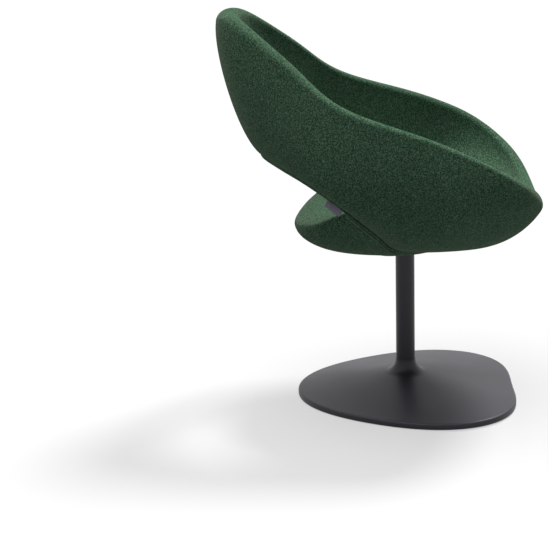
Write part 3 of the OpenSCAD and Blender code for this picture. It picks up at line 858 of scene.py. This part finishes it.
@dataclass
class SideZips:
    """Zips that close the cover along the lower edge, from the crotch forwards on each side."""

    curves: ShellCurves
    name: str = "side_zips_sewn"
    start: float = 3.06
    end: float = 5.0
    tape_width: float = 0.007
    tape_thickness: float = 0.0008
    inset: float = 0.0010
    below: float = 0.0006
    lean: float = 0.55
    steps: int = 90

    def build(self) -> Piece:
        """Tapes of both zips as one piece.

        Returns:
            The zips.
        """
        s = np.linspace(self.start, self.end, self.steps)
        hem = self.curves.place(self.curves.hem, s)
        out = unit(flat(hem))
        middle = hem - out * self.inset - UP * self.below
        along = unit(np.gradient(middle, axis=0))
        cross = unit(np.cross(along, unit(out * self.lean - UP)))
        outward = unit(np.cross(cross, along))
        corners = [(-1, 0.0), (-1, self.tape_thickness), (1, self.tape_thickness), (1, 0.0)]
        loops = np.stack([middle + cross * a * self.tape_width / 2 + outward * b
                          for a, b in corners], 1)
        return twin_strips(self.name, loops, False)


@dataclass
class ZipWelts:
    """Felt laps on the seat side of the zips, one on each side."""

    curves: ShellCurves
    seat: SeatUpholstery
    name: str = "zip_welts"
    start: float = 2.985
    end: float = 4.9
    width: float = 0.0086
    height: float = 0.0038
    undercut: float = 0.7
    clear: float = 0.0075
    sink: float = 0.0012
    taper: float = 0.05
    tip: float = 0.4
    reach: float = 0.2
    probe: float = 0.002
    crown_rows: int = 15
    steps: int = 90
    samples: int = 60
    sharp: float = 50.0

    def build(self) -> Piece:
        """Both laps as one piece of two closed strips.

        Returns:
            The welts.
        """
        s = np.linspace(self.start, self.end, self.steps)
        rows = self.seat.underside(self.seat.seam_line(s), s,
                                   np.linspace(0, self.reach, self.samples))
        routes = [Route(row) for row in rows]
        middle, back, ahead = (np.array([route.at(self.clear + d) for route in routes])
                               for d in (0, -self.probe, self.probe))
        inward = unit(ahead - back)
        normal = unit(np.cross(inward, unit(np.gradient(middle, axis=0))))
        normal *= np.sign(-normal[:, 2:3])
        ends = np.minimum(s - self.start, self.end - s) / self.taper
        fade = np.minimum(1, ends + self.tip)[:, None]
        foot = math.sin(self.undercut)
        crown = [middle + inward * (self.width / 2 * math.cos(a)) * fade
                 + normal * self.height * (math.sin(a) + foot) / (1 + foot) * fade
                 for a in np.linspace(-self.undercut, math.pi + self.undercut, self.crown_rows)]
        under = [p - normal * self.sink for p in (crown[-1], crown[0])]
        return crisp(twin_strips(self.name, np.stack(crown + under, 1), True), self.sharp)


@dataclass
class LabelTab:
    """Bare woven tab sewn into the lower edge of the back beside the crotch."""

    curves: ShellCurves
    name: str = "label_tab_woven"
    near: float = 2.955
    far: float = 2.5
    length: float = 0.034
    drop: float = 0.014
    hidden: float = 0.002
    thickness: float = 0.0011
    proud: float = 0.0012
    bow: float = 0.0014
    flare: float = 0.12
    columns: int = 18
    rows: int = 9
    samples: int = 60
    sharp: float = 40.0

    def build(self) -> Piece:
        """A folded strip that hangs from the hem.

        Returns:
            The tab.
        """
        s = np.linspace(self.near, self.far, self.samples)
        hem = self.curves.place(self.curves.hem, s) * MIRROR
        edge = Route(hem).at(np.linspace(0, self.length, self.columns))
        out = unit(flat(edge))
        line = unit(edge[-1] - edge[0])
        down = unit(line * line[2] - UP)
        front = []
        for k, drop in enumerate(np.linspace(-self.hidden, self.drop, self.rows)):
            lean = self.bow * math.sin(k / (self.rows - 1) * math.pi)
            front.append(edge + out * (self.proud + lean + self.flare * max(drop, 0))
                         + down * drop)
        front = np.stack(front, 1)
        back = front - out[:, None] * self.thickness
        loops = np.concatenate([front, back[:, ::-1]], 1)
        return crisp(mesh_object(self.name, loops, strip_faces(*loops.shape[:2])), self.sharp)


# Cast foot


class Workbench:
    """Edit-mode operators on one mesh, with the selection made in code."""

    def __init__(self, name: str) -> None:
        """Starts an empty mesh in edit mode.

        Args:
            name: Name of the piece.
        """
        bpy.ops.object.select_all(action="DESELECT")
        bpy.ops.mesh.primitive_plane_add(size=SEED, location=(0, 0, 0))
        self.piece = bpy.context.active_object
        self.piece.name = self.piece.data.name = name
        bpy.ops.object.mode_set(mode="EDIT")
        bpy.ops.mesh.select_all(action="SELECT")
        bpy.ops.mesh.delete(type="VERT")

    def ring(self, count: int, radius: float, height: float) -> None:
        """Adds a circle of points round the axis and leaves it selected."""
        bpy.ops.mesh.select_all(action="DESELECT")
        bpy.ops.mesh.primitive_circle_add(vertices=count, radius=radius, location=(0, 0, height))

    def draw(self, line: list) -> None:
        """Draws a line of points ahead of the axis.

        Args:
            line: Radii and heights in order.
        """
        bpy.ops.mesh.select_all(action="DESELECT")
        bpy.ops.mesh.primitive_plane_add(size=SEED, location=(0, -line[0][0], line[0][1]))
        bpy.ops.mesh.merge(type="CENTER")
        for a, b in zip(line, line[1:]):
            step = (0, a[0] - b[0], b[1] - a[1])
            bpy.ops.mesh.extrude_vertices_move(TRANSFORM_OT_translate={"value": step})

    def pick(self, test: Callable[[Vector], bool]) -> None:
        """Selects the points that pass a test.

        Args:
            test: Function from a point's place to whether it is selected.
        """
        bpy.ops.mesh.select_mode(type="VERT")
        bpy.ops.mesh.select_all(action="DESELECT")
        bpy.ops.object.mode_set(mode="OBJECT")
        for v in self.piece.data.vertices:
            v.select = bool(test(v.co))
        bpy.ops.object.mode_set(mode="EDIT")

    def move(self, target: Callable[[Vector], tuple]) -> None:
        """Moves the selected points.

        Args:
            target: Function from a point's place to its new place.
        """
        bpy.ops.object.mode_set(mode="OBJECT")
        for v in self.piece.data.vertices:
            if v.select:
                v.co = target(v.co)
        bpy.ops.object.mode_set(mode="EDIT")

    def merge(self) -> None:
        """Joins points that lie on each other and leaves all selected."""
        bpy.ops.mesh.select_all(action="SELECT")
        bpy.ops.mesh.remove_doubles(threshold=MERGE)

    def finish(self, angle: float) -> Piece:
        """Merges doubles, turns the faces outwards, moves the piece and shades it smooth.

        Args:
            angle: Angle in degrees under which edges are shaded smooth.

        Returns:
            The finished object.
        """
        self.merge()
        bpy.ops.mesh.normals_make_consistent(inside=False)
        bpy.ops.object.mode_set(mode="OBJECT")
        select_only(self.piece)
        self.piece.location = AXIS
        bpy.ops.object.transform_apply(location=True, rotation=True, scale=True)
        bpy.ops.object.shade_smooth_by_angle(angle=math.radians(angle))
        return self.piece


@dataclass
class CastBase:
    """Rounded three-cornered cast foot with a flared hub."""

    name: str = "base_casting_smooth"
    mean_radius: float = 0.226
    corner: float = 0.0176
    shift: float = 0.0183
    harmonics: tuple = (0, 0, -0.0106, 0, -0.0221, -0.0053)
    edge_height: float = 0.014
    crown_height: float = 0.044
    edge_radius: float = 0.0045
    edge_steps: int = 6
    wall: float = 0.007
    toe: float = 0.002
    toe_turn: float = 0.3
    lift: float = 0.0015
    flare: float = 0.030
    flare_sweep: float = 80.4
    flare_steps: int = 16
    slope_from: float = 0.048
    column_radius: float = 0.019
    lip: float = 0.0006
    web_radius: float = 0.044
    web_drop: float = 0.002
    boss_radius: float = 0.024
    boss_z: float = 0.01384
    socket_z: float = 0.01984
    bolt_radius: float = 0.00605
    bore_gap: float = 0.00005
    count: int = 144
    top_cuts: int = 10
    under_cuts: int = 3
    foot_margin: float = 0.004
    rim_share: float = 0.7
    sharp: float = 30.0

    def outline(self, angle: float) -> float:
        """Radius of the outline at an angle from the front."""
        ripple = sum(h * math.cos(k * angle) for k, h in enumerate(self.harmonics))
        return (self.shift * math.cos(angle) - self.corner * math.cos(3 * angle)
                + self.mean_radius * (1 + ripple))

    def on_outline(self, co: Vector, height: float, inset: float) -> tuple:
        """Place beside the outline that a point of a circle moves to.

        Args:
            co: The point's place.
            height: Height of the new place.
            inset: How far it lies inside the outline.

        Returns:
            The new place.
        """
        angle = math.atan2(co.x, -co.y)
        r = self.outline(angle) - inset
        return r * math.sin(angle), -r * math.cos(angle), height

    def hub_radius(self) -> float:
        """Radius of the flare's foot."""
        return self.column_radius + self.lip + self.flare

    def roof(self, radius: float) -> float:
        """Height of the top face at a radius."""
        part = (radius - self.hub_radius()) / (self.mean_radius - self.hub_radius())
        return self.crown_height + (self.edge_height - self.crown_height) * part

    def edge_profile(self) -> list:
        """Section of the edge, from under the rim, round its edge, to the top face.

        Returns:
            Insets and heights.
        """
        top = self.edge_height - self.edge_radius
        inner = self.wall + self.toe
        soft = self.toe * self.toe_turn
        rows = [(2 * self.wall, self.roof(self.mean_radius - 2 * self.wall) - self.wall),
                (inner, top / 2 + self.lift), (inner, self.lift), (self.toe, self.lift),
                (soft, self.lift + soft), (0.0, self.lift + self.toe), (0.0, top)]
        for k in range(1, self.edge_steps + 1):
            a = math.radians(90 / self.edge_steps * k)
            rows.append((self.edge_radius * (1 - math.cos(a)),
                         top + self.edge_radius * math.sin(a)))
        return rows

    def hub_profile(self) -> list:
        """Section of the hub, from the web, through the bore, to the foot of the flare.

        Returns:
            Radii and heights.
        """
        slope = math.atan((self.crown_height - self.edge_height)
                          / (self.mean_radius - self.slope_from))
        flare_z = self.crown_height + self.flare * math.cos(slope)
        bore = self.column_radius + self.bore_gap
        web_z = self.crown_height - self.wall - self.web_drop
        profile = [(self.web_radius, web_z), (self.boss_radius, web_z),
                   (self.boss_radius, self.boss_z), (self.bolt_radius, self.boss_z),
                   (self.bolt_radius, self.socket_z), (bore, self.socket_z), (bore, flare_z),
                   (self.column_radius + self.lip, flare_z)]
        for k in range(1, self.flare_steps + 1):
            a = math.radians(180 + self.flare_sweep * k / self.flare_steps)
            profile.append((self.hub_radius() + self.flare * math.cos(a),
                            flare_z + self.flare * math.sin(a)))
        return profile

    def on_ring(self, co: Vector, ring: tuple) -> bool:
        """Whether a point lies on a circle of a radius and height."""
        return abs(math.hypot(co.x, co.y) - ring[0]) < TOUCH and abs(co.z - ring[1]) < TOUCH

    def on_rim(self, co: Vector, height: float) -> bool:
        """Whether a point lies out by the rim, at a height."""
        far = self.mean_radius * self.rim_share
        return math.hypot(co.x, co.y) > far and abs(co.z - height) < TOUCH

    def build(self) -> Piece:
        """The casting, from an edge loop, a spun hub and two bridged faces.

        Returns:
            The finished casting.
        """
        bench = Workbench(self.name)
        rim, hub = self.edge_profile(), self.hub_profile()
        bench.ring(self.count, self.mean_radius, rim[0][1])
        for k, (inset, height) in enumerate(rim):
            if k:
                bpy.ops.mesh.extrude_edges_move(TRANSFORM_OT_translate={"value": (0, 0, SEED)})
            bench.move(lambda co: self.on_outline(co, height, inset))
        bench.draw(hub)
        past = self.hub_radius() + self.foot_margin
        bench.pick(lambda co: abs(co.x) < TOUCH and 0 < -co.y < past)
        bpy.ops.mesh.spin(steps=self.count, angle=2 * math.pi, center=(0, 0, 0), axis=(0, 0, 1))
        bench.merge()
        for ring, edge, cuts in ((hub[-1], rim[-1], self.top_cuts),
                                 (hub[0], rim[0], self.under_cuts)):
            bench.pick(lambda co: self.on_ring(co, ring) or self.on_rim(co, edge[1]))
            bpy.ops.mesh.bridge_edge_loops(number_cuts=cuts, interpolation="LINEAR")
        return bench.finish(self.sharp)


# Finishes


class NodeBoard:
    """Adds and joins the nodes of one tree."""

    def __init__(self, tree: bpy.types.NodeTree) -> None:
        """Starts with an empty tree.

        Args:
            tree: Tree of a material or of the world.
        """
        self.tree = tree
        tree.nodes.clear()

    def feed(self, target: Socket, value: object) -> None:
        """Joins an input to a socket, or sets it.

        Args:
            target: The input.
            value: Socket, number, vector, or colour without its opacity.
        """
        if isinstance(value, Socket):
            self.tree.links.new(value, target)
        else:
            target.default_value = (*value, 1) if target.type == "RGBA" else value

    def add(self, kind: str, inputs: dict | None = None, **settings: object) -> bpy.types.Node:
        """Adds a node.

        Args:
            kind: Type of the node.
            inputs: What its inputs are fed, by name or number.
            **settings: Its own properties.

        Returns:
            The node.
        """
        node = self.tree.nodes.new(kind)
        for key, value in settings.items():
            setattr(node, key, value)
        for key, value in (inputs or {}).items():
            self.feed(node.inputs[key], value)
        return node


class NodeBench(NodeBoard):
    """Lays out the nodes of one material round a Principled shader."""

    def __init__(self, name: str) -> None:
        """Starts a material with its shader and Object coordinates.

        Args:
            name: Name of the material.
        """
        self.material = bpy.data.materials.new(name)
        self.material.use_nodes = True
        super().__init__(self.material.node_tree)
        self.shader = self.add("ShaderNodeBsdfPrincipled")
        self.add("ShaderNodeOutputMaterial", {"Surface": self.shader.outputs["BSDF"]})
        self.place = self.add("ShaderNodeTexCoord").outputs["Object"]

    def skin(self, **inputs: object) -> None:
        """Feeds the shader's own sockets, whose names have _ for each space."""
        for key, value in inputs.items():
            self.feed(self.shader.inputs[key.replace("_", " ")], value)

    def stretched(self, scale: tuple, turn: tuple = (0, 0, 0)) -> Socket:
        """Coordinates scaled and turned for a pattern with a direction."""
        return self.add("ShaderNodeMapping", {"Scale": scale, "Rotation": turn,
                                              "Vector": self.place}).outputs["Vector"]

    def noise(self, scale: float, detail: float = 3.0, rough: float = 0.55,
              place: Socket | None = None) -> Socket:
        """Cloudy pattern about 0.5, with its scale in features per metre."""
        return self.add("ShaderNodeTexNoise", {
            "Scale": scale, "Detail": detail, "Roughness": rough,
            "Vector": place or self.place}).outputs["Fac"]

    def ramp(self, source: Socket, *stops: tuple) -> Socket:
        """Colour ramp from a value.

        Args:
            source: Value from 0 to 1.
            *stops: Pairs of place and colour.

        Returns:
            Colour socket.
        """
        node = self.add("ShaderNodeValToRGB", {"Fac": source})
        elements = node.color_ramp.elements
        while len(elements) < len(stops):
            elements.new(0.5)
        for element, (place, colour) in zip(elements, stops):
            element.position = place
            element.color = (*colour, 1)
        return node.outputs["Color"]

    def span(self, source: Socket, low: float, high: float, to_low: float = 0.0,
             to_high: float = 1.0) -> Socket:
        """Value moved from one range to another and held inside it."""
        return self.add("ShaderNodeMapRange", {
            "Value": source, "From Min": low, "From Max": high,
            "To Min": to_low, "To Max": to_high}).outputs["Result"]

    def mixed(self, first: Socket, second: object, part: object,
              blend: str = "MIX") -> Socket:
        """Mix of two colours, of which part is the share of the second."""
        return self.add("ShaderNodeMix", {6: first, 7: second, 0: part}, data_type="RGBA",
                        blend_type=blend).outputs[2]

    def sum(self, first: Socket, second: Socket,
            part: float) -> Socket:
        """First value plus a share of the second."""
        return self.add("ShaderNodeMath", {0: second, 1: part, 2: first},
                        operation="MULTIPLY_ADD").outputs[0]

    def relief(self, height: Socket, strength: float, depth: float) -> None:
        """Bump on the shader's normal, with its depth in metres."""
        bump = self.add("ShaderNodeBump", {"Strength": strength, "Distance": depth,
                                           "Height": height})
        self.skin(Normal=bump.outputs["Normal"])


@dataclass(frozen=True)
class FeltFinish:
    """Dark green melange wool felt: pressed fibres of four tones with a soft nap."""

    name: str = "melange_felt"
    shadow: tuple = (0.010, 0.042, 0.021)
    ground: tuple = (0.044, 0.117, 0.063)
    light: tuple = (0.190, 0.300, 0.212)
    warm: tuple = (0.110, 0.106, 0.060)
    tones: tuple = (0.40, 0.50, 0.60)
    clump: float = 400.0
    fibre: float = 1000.0
    fibre_share: float = 0.35
    brown_scale: float = 0.8
    brown_strength: float = 0.8
    brown_tones: tuple = (0.60, 0.68)
    brown_stretch: tuple = ((1, 1.1, 0.9), (0.4, 0.2, 0))
    worn: tuple = (0.92, 0.92, 0.92)
    fresh: tuple = (1.06, 1.06, 1.06)
    rough: tuple = (0.82, 0.98)
    sheen: tuple = (0.90, 1.0, 0.78)
    nap: float = 0.0010

    def material(self) -> bpy.types.Material:
        """The felt.

        Returns:
            Its material.
        """
        b = NodeBench(self.name)
        clumps = b.noise(self.clump, 3.0, 0.75)
        fibres = b.noise(self.fibre, 2.0, 0.7)
        worked = b.sum(b.span(clumps, 0.0, 1.0, 0.0, 1 - self.fibre_share), fibres,
                       self.fibre_share)
        colour = b.ramp(worked, *zip(self.tones, (self.shadow, self.ground, self.light)))
        brown = b.noise(self.clump * self.brown_scale, 2.0, 0.6,
                        b.stretched(*self.brown_stretch))
        colour = b.mixed(colour, self.warm,
                         b.span(brown, *self.brown_tones, 0.0, self.brown_strength))
        wash = b.ramp(b.noise(5.0, 2.0), (0.3, self.worn), (0.7, self.fresh))
        b.skin(Base_Color=b.mixed(colour, wash, 1.0, "MULTIPLY"),
               Roughness=b.span(fibres, 0.3, 0.7, *self.rough), Specular_IOR_Level=0.0,
               Sheen_Weight=0.20, Sheen_Roughness=0.40, Sheen_Tint=self.sheen)
        b.relief(b.sum(clumps, fibres, 0.7), 0.6, self.nap)
        return b.material


@dataclass(frozen=True)
class PaintFinish:
    """Satin powder coat: a fine orange-peel skin, a little dust and rubbed edges."""

    name: str = "satin_anthracite"
    colour: tuple = (0.030, 0.031, 0.042)
    rubbed: tuple = (0.044, 0.044, 0.052)
    dust: float = 9.0
    peel: float = 2600.0
    peel_depth: float = 0.0002
    rough: tuple = (0.36, 0.50)
    gloss: float = 0.30

    def material(self) -> bpy.types.Material:
        """The paint.

        Returns:
            Its material.
        """
        b = NodeBench(self.name)
        cloud = b.noise(self.dust, 4.0)
        grain = b.noise(self.peel, 2.0)
        b.skin(Base_Color=b.ramp(cloud, (0.35, self.colour), (0.75, self.rubbed)),
               Roughness=b.span(b.sum(cloud, grain, 0.25), 0.3, 0.9, *self.rough),
               Specular_IOR_Level=self.gloss)
        b.relief(grain, 0.10, self.peel_depth)
        return b.material


@dataclass(frozen=True)
class MetalFinish:
    """Plated, primed or turned metal with fine drawn lines."""

    name: str
    colour: tuple
    metallic: float = 1.0
    rough: float = 0.34
    rougher: float = 0.16
    lines: tuple = (40.0, 40.0, 900.0)
    line_depth: float = 0.0002
    spots: float = 60.0
    dulling: float = 0.72

    def material(self) -> bpy.types.Material:
        """The metal.

        Returns:
            Its material.
        """
        b = NodeBench(self.name)
        drawn = b.noise(1.0, 4.0, 0.6, b.stretched(self.lines))
        spots = b.noise(self.spots, 4.0)
        dull = tuple(self.dulling * c for c in self.colour)
        b.skin(Base_Color=b.ramp(spots, (0.3, dull), (0.65, self.colour)),
               Roughness=b.span(b.sum(drawn, spots, 0.4), 0.4, 1.0, self.rough,
                                self.rough + self.rougher),
               Metallic=self.metallic)
        b.relief(drawn, 0.08, self.line_depth)
        return b.material


@dataclass(frozen=True)
class MouldedFinish:
    """Moulded plastic or rigid foam with a fine eroded skin."""

    name: str
    colour: tuple
    grain: float = 1500.0
    depth: float = 0.0002
    rough: float = 0.5
    rougher: float = 0.15
    tone: float = 25.0
    dulling: float = 0.8

    def material(self) -> bpy.types.Material:
        """The moulding.

        Returns:
            Its material.
        """
        b = NodeBench(self.name)
        skin, tone = b.noise(self.grain), b.noise(self.tone)
        dark = tuple(self.dulling * c for c in self.colour)
        b.skin(Base_Color=b.ramp(tone, (0.3, dark), (0.7, self.colour)),
               Roughness=b.span(skin, 0.3, 0.7, self.rough, self.rough + self.rougher))
        b.relief(skin, 0.25, self.depth)
        return b.material


@dataclass(frozen=True)
class PlywoodFinish:
    """Birch plywood: long grain on the faces and thin plies at the edge."""

    name: str = "birch_plywood"
    early: tuple = (0.55, 0.40, 0.23)
    late: tuple = (0.36, 0.23, 0.11)
    grain: tuple = (260.0, 9.0, 700.0)
    grain_depth: float = 0.0003
    rough: tuple = (0.5, 0.7)

    def material(self) -> bpy.types.Material:
        """The plywood.

        Returns:
            Its material.
        """
        b = NodeBench(self.name)
        grain = b.noise(1.0, 5.0, 0.6, b.stretched(self.grain))
        b.skin(Base_Color=b.ramp(grain, (0.35, self.late), (0.62, self.early)),
               Roughness=b.span(grain, 0.3, 0.7, *self.rough))
        b.relief(grain, 0.3, self.grain_depth)
        return b.material


@dataclass(frozen=True)
class WovenFinish:
    """Narrow woven tape: crossing threads with a darker ground."""

    name: str
    colour: tuple
    ground: tuple
    pitch: float = 1100.0
    wobble: float = 0.6
    rough: tuple = (0.7, 0.9)
    thread_depth: float = 0.0004

    def material(self) -> bpy.types.Material:
        """The weave.

        Returns:
            Its material.
        """
        b = NodeBench(self.name)
        warp, weft = (
            b.add("ShaderNodeTexWave",
                  {"Scale": self.pitch / 6, "Distortion": self.wobble, "Detail": 1.0,
                   "Vector": b.stretched((1, 1, 1), turn)},
                  wave_type="BANDS", bands_direction="DIAGONAL").outputs["Fac"]
            for turn in ((0, 0, 0), (0, math.pi / 2, 0)))
        weave = b.sum(b.span(warp, 0, 1, 0, 0.5), weft, 0.5)
        fuzz = b.noise(self.pitch * 1.6, 2.0)
        b.skin(Base_Color=b.ramp(b.sum(weave, fuzz, 0.4), (0.45, self.ground),
                                 (0.85, self.colour)),
               Roughness=b.span(fuzz, 0.3, 0.7, *self.rough), Sheen_Weight=0.2,
               Sheen_Roughness=0.5)
        b.relief(weave, 0.6, self.thread_depth)
        return b.material


# Studio


@dataclass
class PhotoCamera:
    """Long lens beside the chair, at the photograph's angle, in its pixels and degrees."""

    focal_px: float = 1700.0
    frame_width: int = 548
    frame_height: int = 536
    centre_px: tuple = (340.0, 268.0)
    origin_px: tuple = (405.7, 391.3)
    pixels_per_metre: float = 488.5
    elevation: float = 15.19
    roll: float = -0.91
    sensor: float = 36.0
    far: float = 100.0

    def build(self) -> Piece:
        """Camera whose view puts the foot of the swivel axis at its place in the photograph.

        Returns:
            The camera.
        """
        e, r = math.radians(self.elevation), math.radians(self.roll)
        right, away, up = Vector((0, -1, 0)), Vector((1, 0, 0)), Vector((0, 0, 1))
        forward = away * math.cos(e) - up * math.sin(e)
        above = away * math.sin(e) + up * math.cos(e)
        side = right * math.cos(r) + above * math.sin(r)
        above = above * math.cos(r) - right * math.sin(r)
        u, v = ((o - c) / self.focal_px for o, c in zip(self.origin_px, self.centre_px))
        distance = self.focal_px / self.pixels_per_metre
        data = bpy.data.cameras.new("photo_camera")
        data.sensor_width = self.sensor
        data.lens = self.focal_px * self.sensor / self.frame_width
        data.shift_x = (self.frame_width / 2 - self.centre_px[0]) / self.frame_width
        data.shift_y = (self.centre_px[1] - self.frame_height / 2) / self.frame_width
        data.clip_end = self.far
        camera = bpy.data.objects.new("photo_camera", data)
        place = Vector(AXIS) - (forward + side * u - above * v) * distance
        turn = Matrix((side, above, -forward)).transposed().to_4x4()
        camera.matrix_world = Matrix.Translation(place) @ turn
        bpy.context.scene.collection.objects.link(camera)
        bpy.context.scene.camera = camera
        return camera


@dataclass
class Studio:
    """Pale floor, a key lamp beyond the chair's far side, a broad top lamp and a dim room."""

    white: tuple = (1, 1, 1)
    floor_colour: tuple = (0.27, 0.27, 0.27)
    seen_colour: tuple = (0.77, 0.77, 0.77)
    lift: float = 0.50
    floor_size: float = 40.0
    key_strength: float = 2.56
    key_spread: float = 16.0
    key_place: tuple = (1.25, -1.05, 2.6)
    top_strength: float = 2.08
    top_spread: float = 60.0
    top_place: tuple = (-0.05, 0.45, 3.0)
    room: float = 0.05

    def by_ray(self, board: NodeBoard, unseen: bpy.types.Node,
               seen: bpy.types.Node) -> Socket:
        """Shader that differs for rays that the camera sees straight, mirrored or through glass.

        Args:
            board: Board of the tree.
            unseen: Shader for all other rays.
            seen: Shader for those rays.

        Returns:
            Shader socket.
        """
        rays = board.add("ShaderNodeLightPath")
        part = rays.outputs["Is Camera Ray"]
        for name in ("Is Glossy Ray", "Is Transmission Ray"):
            part = board.add("ShaderNodeMath", {0: part, 1: rays.outputs[name]},
                             operation="MAXIMUM").outputs[0]
        return board.add("ShaderNodeMixShader", {
            0: part, 1: unseen.outputs[0], 2: seen.outputs[0]}).outputs[0]

    def floor(self) -> None:
        """Floor that keeps the shadow and is lifted towards white for the camera."""
        bpy.ops.object.select_all(action="DESELECT")
        bpy.ops.mesh.primitive_plane_add(size=self.floor_size, location=(0, 0, 0))
        floor = bpy.context.active_object
        floor.name = "studio_floor"
        material = bpy.data.materials.new("studio_floor")
        material.use_nodes = True
        board = NodeBoard(material.node_tree)
        paper, pale = (board.add("ShaderNodeBsdfDiffuse", {"Color": colour})
                       for colour in (self.floor_colour, self.seen_colour))
        glow = board.add("ShaderNodeEmission", {"Color": self.white, "Strength": 1.0})
        lifted = board.add("ShaderNodeMixShader", {
            0: self.lift, 1: pale.outputs[0], 2: glow.outputs[0]})
        board.add("ShaderNodeOutputMaterial", {"Surface": self.by_ray(board, paper, lifted)})
        floor.data.materials.append(material)

    def lamp(self, name: str, place: tuple, strength: float, spread: float) -> None:
        """Far lamp with a wide disc, so that the floor is lit evenly and shadows are soft.

        Args:
            name: Name of the lamp.
            place: Point that it shines from towards the origin.
            strength: Strength of its light.
            spread: Angle in degrees that its disc covers.
        """
        data = bpy.data.lights.new(name, "SUN")
        data.angle = math.radians(spread)
        data.energy = strength
        lamp = bpy.data.objects.new(name, data)
        lamp.location = place
        lamp.rotation_mode = "QUATERNION"
        lamp.rotation_quaternion = (-Vector(place)).to_track_quat("-Z", "Y")
        bpy.context.scene.collection.objects.link(lamp)

    def world(self) -> None:
        """Even grey room, white where the camera looks straight at it."""
        world = bpy.data.worlds.new("room")
        bpy.context.scene.world = world
        world.use_nodes = True
        board = NodeBoard(world.node_tree)
        room, white = (board.add("ShaderNodeBackground", {"Color": self.white,
                                                          "Strength": strength})
                       for strength in (self.room, 1.0))
        board.add("ShaderNodeOutputWorld", {"Surface": self.by_ray(board, room, white)})

    def build(self) -> None:
        """Sets the floor, both lamps, the room and the plain view transform."""
        bpy.context.scene.view_settings.view_transform = "Standard"
        self.floor()
        self.lamp("key_lamp", self.key_place, self.key_strength, self.key_spread)
        self.lamp("top_lamp", self.top_place, self.top_strength, self.top_spread)
        self.world()


@dataclass
class Fixings:
    """Carried-over nodes of the frame and the finish that each gets."""

    nodes: dict
    parts: list
    finishes: dict

    def dress(self) -> None:
        """Puts the finish of its slot on every node that has one."""
        for part in self.parts:
            piece, finish = self.nodes[part["node"]], self.finishes.get(part["material_slot"])
            if finish is None:
                continue
            if not piece.material_slots:
                piece.data.materials.append(finish)
            for place in piece.material_slots:
                place.material = finish
            LOG.info("dressed %s with %s", part["node"], finish.name)


def settle(piece: Piece, body: Body, finish: bpy.types.Material,
           replaced: tuple) -> None:
    """Gives a new piece its finish, its body and the nodes that it stands for.

    Args:
        piece: The new piece.
        body: Body that it rides on.
        finish: Its material.
        replaced: Names of the frame's nodes that it stands for.
    """
    piece.data.materials.clear()
    piece.data.materials.append(finish)
    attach(piece, body.value)
    if replaced:
        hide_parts(*replaced)
    LOG.info("built %s: %d faces on %s", piece.name, len(piece.data.polygons), body.value)


def main() -> None:
    """Builds the chair in order."""
    logging.basicConfig(level=logging.INFO, format="%(message)s")
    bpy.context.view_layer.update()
    PhotoCamera().build()
    Studio().build()
    felt = FeltFinish().material()
    # Paler copy of the felt for the zip welts: painted light, standing in for the light that the
    # strip's upturned face catches
    lit_felt = FeltFinish("felt_painted_lit", (0.035, 0.090, 0.050), (0.100, 0.200, 0.120),
                        (0.24, 0.35, 0.26)).material()
    paint = PaintFinish().material()
    label = WovenFinish("woven_tab", (0.42, 0.37, 0.49), (0.16, 0.14, 0.20)).material()
    tape = WovenFinish("zip_tape", (0.03, 0.045, 0.036), (0.008, 0.012, 0.010),
                       1600.0).material()
    Fixings(frame["nodes"], frame["record"]["subparts"], {
        Slot.PAINT.value: paint,
        Slot.STEEL.value: MetalFinish("zinc_plate", (0.55, 0.56, 0.58)).material(),
        Slot.RAW_STEEL.value: MetalFinish("black_primer", (0.05, 0.05, 0.055), 0.2,
                                          0.5).material(),
        Slot.PLASTIC.value: MouldedFinish("black_plastic", (0.022, 0.022, 0.023)).material(),
        Slot.BUSH.value: MouldedFinish("bearing_plastic", (0.62, 0.58, 0.47)).material(),
        Slot.BRONZE.value: MetalFinish("turned_bronze", (0.55, 0.38, 0.18), 1.0,
                                       0.3).material(),
        Slot.PLY.value: PlywoodFinish().material(),
        Slot.SHELL.value: MouldedFinish("rigid_foam", (0.50, 0.42, 0.30), 500.0,
                                        0.0006).material(),
        Slot.TAPE.value: tape,
        Slot.LABEL.value: label,
    }).dress()
    curves = ShellCurves()
    band = BandUpholstery(curves)
    seat = SeatUpholstery(curves, band)
    wall = band.build()
    settle(wall, Body.SEAT, felt,
           ("outer_cover", "inner_cover", "outer_foam", "inner_foam"))
    cushion = seat.build()
    PadFilling().swell(cushion, (wall,))
    settle(cushion, Body.SEAT, felt, ("seat_cover", "seat_under_cover", "seat_foam"))
    settle(SideZips(curves).build(), Body.SEAT, tape, ("side_zips",))
    # The welts get the paler felt copy, which is painted light on the strip
    settle(ZipWelts(curves, seat).build(), Body.SEAT, lit_felt, ())
    settle(LabelTab(curves).build(), Body.SEAT, label, ("label_tab",))
    settle(CastBase().build(), Body.BASE, paint, ("base_casting",))


if __name__ == "__main__":
    main()
